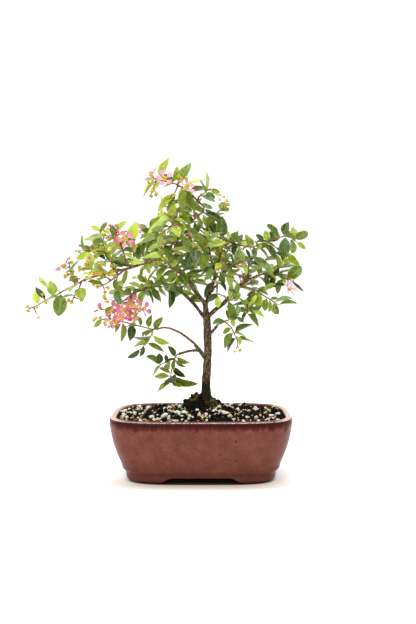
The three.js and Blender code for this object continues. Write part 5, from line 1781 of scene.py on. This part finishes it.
@dataclass
class Tree:
    """Everything that grows: the wood, the young shoots, the leaves, the buds and the flowers."""

    voxel: float = 0.62
    trunk_x: float = 47.5
    fork: tuple[float, float] = (95.0, 250.0)
    arch_from: float = 42.0
    arch_height: float = 176.0
    arch_reach: float = 22.0
    pink_stems: tuple[str, ...] = ("upper_left_inner", "crown_low", "centre_low", "front_centre", "left")
    collar: Rows = ((-2.2, 0), (-1.5, 1.15), (0, 1.45), (1.5, 1.15), (2.2, 0))
    seats_on_shoots: int = 260
    seats_on_wood: int = 1500
    thin_from: float = 205.0
    shoot_growth: float = 0.4
    rise: float = 0.2
    fuller: float = 0.35
    slimmer: float = 0.3

    def bark(self, places: Array) -> Array:
        """How far the wood's skin is moved out at places, in millimetres.

        The bark's height is 0.45 mm · bumps drawn out along the trunk + 0.3 mm · finer bumps, less on thin
        wood. As the photograph shows them, the trunk and the limbs are a little fuller than the solid, and
        the low left branch is a little slimmer.
        """
        x, z = places[:, 0], places[:, 2]
        thick = np.clip(1.2 - np.abs(x - self.trunk_x) / 30, 0.25, 1) * np.clip((230 - z) / 60, 0.35, 1)
        height = 0.45 * bumps(places * (1, 1, 0.3), 2.3, 21) + 0.3 * bumps(places * (1, 1, 0.6), 1.3, 22)
        arch = np.clip((self.arch_from - x) / 8, 0, 1) * (np.abs(z - self.arch_height) <= self.arch_reach)
        fork = np.clip((z - self.fork[0]) / 20, 0, 1) * np.clip((self.fork[1] - z) / 20, 0, 1)
        return thick * height + self.rise + self.fuller * fork * (1 - arch) - self.slimmer * arch

    def wood(self, points: Array, triangles: Array, material: Material) -> None:
        """Makes the trunk and branches: the solid's skin made even, rounded, and raised into bark.

        Args:
            points: The solid's points.
            triangles: Its triangles.
            material: The bark.
        """
        made = Skin(points, [triangles]).piece("bark_trunk_and_branches", material, Slot.BARK, 80)
        remesh = made.modifiers.new("even_skin", "REMESH")
        remesh.mode, remesh.voxel_size = "VOXEL", self.voxel * MM
        rounded = made.modifiers.new("rounded", "SMOOTH")
        rounded.factor, rounded.iterations = 0.5, 5
        settle(made)
        mesh = made.data
        places = triples(mesh.vertices, "co") / MM
        young = np.clip(np.abs(places[:, 0] - self.trunk_x) / 40 - 0.2, 0, 1)
        places += triples(mesh.vertices, "normal") * self.bark(places)[:, None]
        mesh.vertices.foreach_set("co", (places * MM).ravel())
        young = np.clip(young + np.clip((places[:, 2] - 225) / 60, 0, 1), 0, 1).astype(np.float32)
        mesh.attributes.new("young", "FLOAT", "POINT").data.foreach_set("value", young)
        mesh.update()
        mesh.shade_smooth()
        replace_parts(made, "trunk_and_branches")

    def stem(self, stem: StemSolid, name: str, leaves: Skin, finishes: dict[str, Material]) -> None:
        """Makes one stem's leaves and its bare shoots."""
        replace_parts(leaves.piece(f"leaves_{name}", finishes["leaf"], Slot.LEAF), stem.node)
        shoots = dressed(f"shoots_{name}", stem.bare(), finishes["twig"])
        fuller = shoots.modifiers.new("fuller", "DISPLACE")
        fuller.strength, fuller.mid_level = self.shoot_growth * MM, 0
        round_off = shoots.modifiers.new("round_off", "SUBSURF")
        round_off.levels = round_off.render_levels = 2
        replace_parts(shoots, stem.node)

    def seats(self, stems: list[StemSolid], points: Array, triangles: Array) -> tuple[Array, Array]:
        """Spots that leaves and stalks can grow from: on the shoots, and on the thin wood of the crown.

        Args:
            stems: The stems.
            points: The wood's points.
            triangles: Its triangles.

        Returns:
            The spots, and the number of the stem that each is nearest to.
        """
        skins = [
            on_skin(stem.points, stem.shoots(), self.seats_on_shoots, 900 + number)
            for number, stem in enumerate(stems)
        ]
        seats = np.concatenate([spots - 0.5 * ways for spots, ways in skins])
        owner = np.repeat(np.arange(len(stems)), self.seats_on_shoots)
        spots, ways = on_skin(points, triangles, self.seats_on_wood, 899)
        thin = (spots[:, 2] > self.thin_from) & (np.abs(spots[:, 0] - self.trunk_x) > 4)
        more = (spots - 0.8 * ways)[thin]
        near = gaps(more, seats).argmin(axis=1)
        return np.concatenate([seats, more]), np.concatenate([owner, owner[near]])

    def flowers(self, seats: Array, finishes: dict[str, Material]) -> list[Skin]:
        """Makes the petals of all flowers, and the thin stalks.

        Args:
            seats: Spots on the shoots.
            finishes: The materials by name.

        Returns:
            The small waxy things in the flowers and on the stalks.
        """
        small, heads = [], Heads()
        for number, node in enumerate(sorted(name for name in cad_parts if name.startswith("bloom_"))):
            bloom = Bloom.of_solid(node)
            name = node.replace("bloom_", "petals_")
            petals = bloom.petal_skin(500 + number).piece(name, finishes["petal"], Slot.PETAL)
            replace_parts(petals, node)
            small += bloom.heart()
        stalks, ends = Clusters().grow(seats)
        stalks.piece("flower_stalks", finishes["stalk"], Slot.LEAF, crease=80)
        drawn = np.random.default_rng(6)
        half_open = [Bloom.half_open(centre, way, drawn) for centre, way in zip(*ends[Head.FLOWER])]
        petals = [bloom.petal_skin(600 + number) for number, bloom in enumerate(half_open)]
        Skin.joined(petals).piece("petals_small_flowers", finishes["petal"], Slot.PETAL)
        small += [skin for bloom in half_open for skin in bloom.heart()]
        small += heads.calyxes(*ends[Head.CALYX])
        small.append(heads.plain(*ends[Head.PINK], Budding.PINK))
        small.append(heads.plain(*ends[Head.BROWN], Budding.BROWN))
        return small

    def build(self, finishes: dict[str, Material]) -> None:
        """Makes the wood, then the shoots, leaves and buds stem by stem, then the flowers and collars."""
        points, triangles = welded("trunk_and_branches")
        self.wood(points, triangles, finishes["bark"])
        stems = [StemSolid(name) for name in sorted(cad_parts) if name.startswith("leafy_stem_")]
        blades = [stem.blades() for stem in stems]
        buds = [stem.buds() for stem in stems]
        seats, owner = self.seats(stems, points, triangles)
        extra, chosen = Filling().grow(seats, Blades.joined(blades))
        foliage, heads = Foliage(), Heads()
        small, collars = [], []
        for number, stem in enumerate(stems):
            name = stem.node.removeprefix("leafy_stem_")
            own = Blades.joined([blades[number], extra.pick(owner[chosen] == number)])
            self.stem(stem, name, foliage.skin(own, 100 + number), finishes)
            if len(buds[number][0]) and name in self.pink_stems:
                small.append(heads.plain(*buds[number], Budding.PINK))
            elif len(buds[number][0]):
                small += heads.calyxes(*buds[number])
            off = gaps(stem.points, points).min(axis=1)
            collars.append(stem.points[np.argsort(off)[:3]].mean(axis=0))
        small += self.flowers(seats, finishes)
        Skin.joined(small).piece("buds_stamens_and_calyxes", finishes["bud"], Slot.PETAL, crease=80)
        up = np.array([[0.0, 0.0, 1.0]] * len(collars))
        rings = beads(np.array(collars), up, self.collar, 8)
        rings.piece("shoot_collars", finishes["twig"], Slot.BARK, crease=80)


@dataclass
class Studio:
    """A white sweep in a white room that is darker behind the camera, soft lights, and the camera."""

    lens: float = 50.0
    sensor: float = 36.0
    tilt: float = 2.9
    half_floor: float = 6.0
    backdrop: float = 1.12
    bright: float = 1.0
    dark: float = 0.42
    turn_dark: tuple[float, float] = (-0.9, 0.3)
    aim: tuple[float, float, float] = (0.04, 0.0, 0.15)

    def room(self) -> None:
        """The light of the room: bright above, behind and beside the tree, darker low behind the camera."""
        world = bpy.data.worlds.new("white_room")
        wiring = Wiring(world, "Background")
        _, away, up = wiring.add("TexCoord", "Generated").split()
        level = (away + up).step(*self.turn_dark) * (self.bright - self.dark) + self.dark
        seen = {"Factor": wiring.add("LightPath", "Is Camera Ray"), "A": level, "B": self.backdrop}
        wiring.finished(Color="#ffffff", Strength=wiring.add("Mix", "Result", seen))
        bpy.context.scene.world = world

    def build(self) -> None:
        """Makes the floor, the room, the lights and the camera."""
        far = self.half_floor
        corners = [(-far, -far, 0), (far, -far, 0), (far, far, 0), (-far, far, 0)]
        sweep = bpy.data.meshes.new("white_floor")
        sweep.from_pydata(corners, [], [(0, 1, 2, 3)])
        sweep.materials.append(PaperFinish().material())
        put("white_floor", sweep)
        self.room()
        self.lamp("soft_box_above", (0.0, 0.1, 1.5), 1.2, 13)
        self.lamp("soft_box_front", (-0.5, -1.3, 1.3), 0.8, 9)
        seen = bpy.data.cameras.new("camera")
        seen.lens, seen.sensor_width = self.lens, self.sensor
        camera = put("camera", seen)
        camera.location = Vector(EYE) * MM
        camera.rotation_euler = (math.radians(90 - self.tilt), 0, 0)
        bpy.context.scene.camera = camera
        bpy.context.scene.view_settings.view_transform = "Standard"

    def lamp(self, name: str, place: tuple[float, float, float], side: float, power: float) -> None:
        """A square soft light, turned to the tree.

        Args:
            name: Its name.
            place: Where it hangs, in metres.
            side: How long its sides are, in metres.
            power: In watts.
        """
        light = bpy.data.lights.new(name, "AREA")
        light.size, light.energy = side, power
        made = put(name, light)
        made.location = place
        made.rotation_euler = (Vector(self.aim) - Vector(place)).to_track_quat("-Z", "Y").to_euler()


def main() -> None:
    """Builds the scene: the studio, the pot with its screens, the soil, and the tree."""
    logging.basicConfig(level=logging.INFO, format="%(message)s")
    Studio().build()
    pot = Pot()
    pot.build(GlazeFinish().material())
    net = ScreenFinish().material()
    for side in ("left", "right"):
        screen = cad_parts[f"drain_screen_{side}"]
        screen.data.materials.clear()
        screen.data.materials.append(net)
    Soil(pot).build(SoilFinish().material(), GrainFinish().material())
    Tree().build({
        "bark": BarkFinish().material(),
        "twig": TwigFinish().material(),
        "leaf": LeafFinish().material(),
        "petal": PetalFinish().material(),
        "stalk": StalkFinish().material(),
        "bud": BudFinish().material(),
    })


if __name__ == "__main__":
    main()
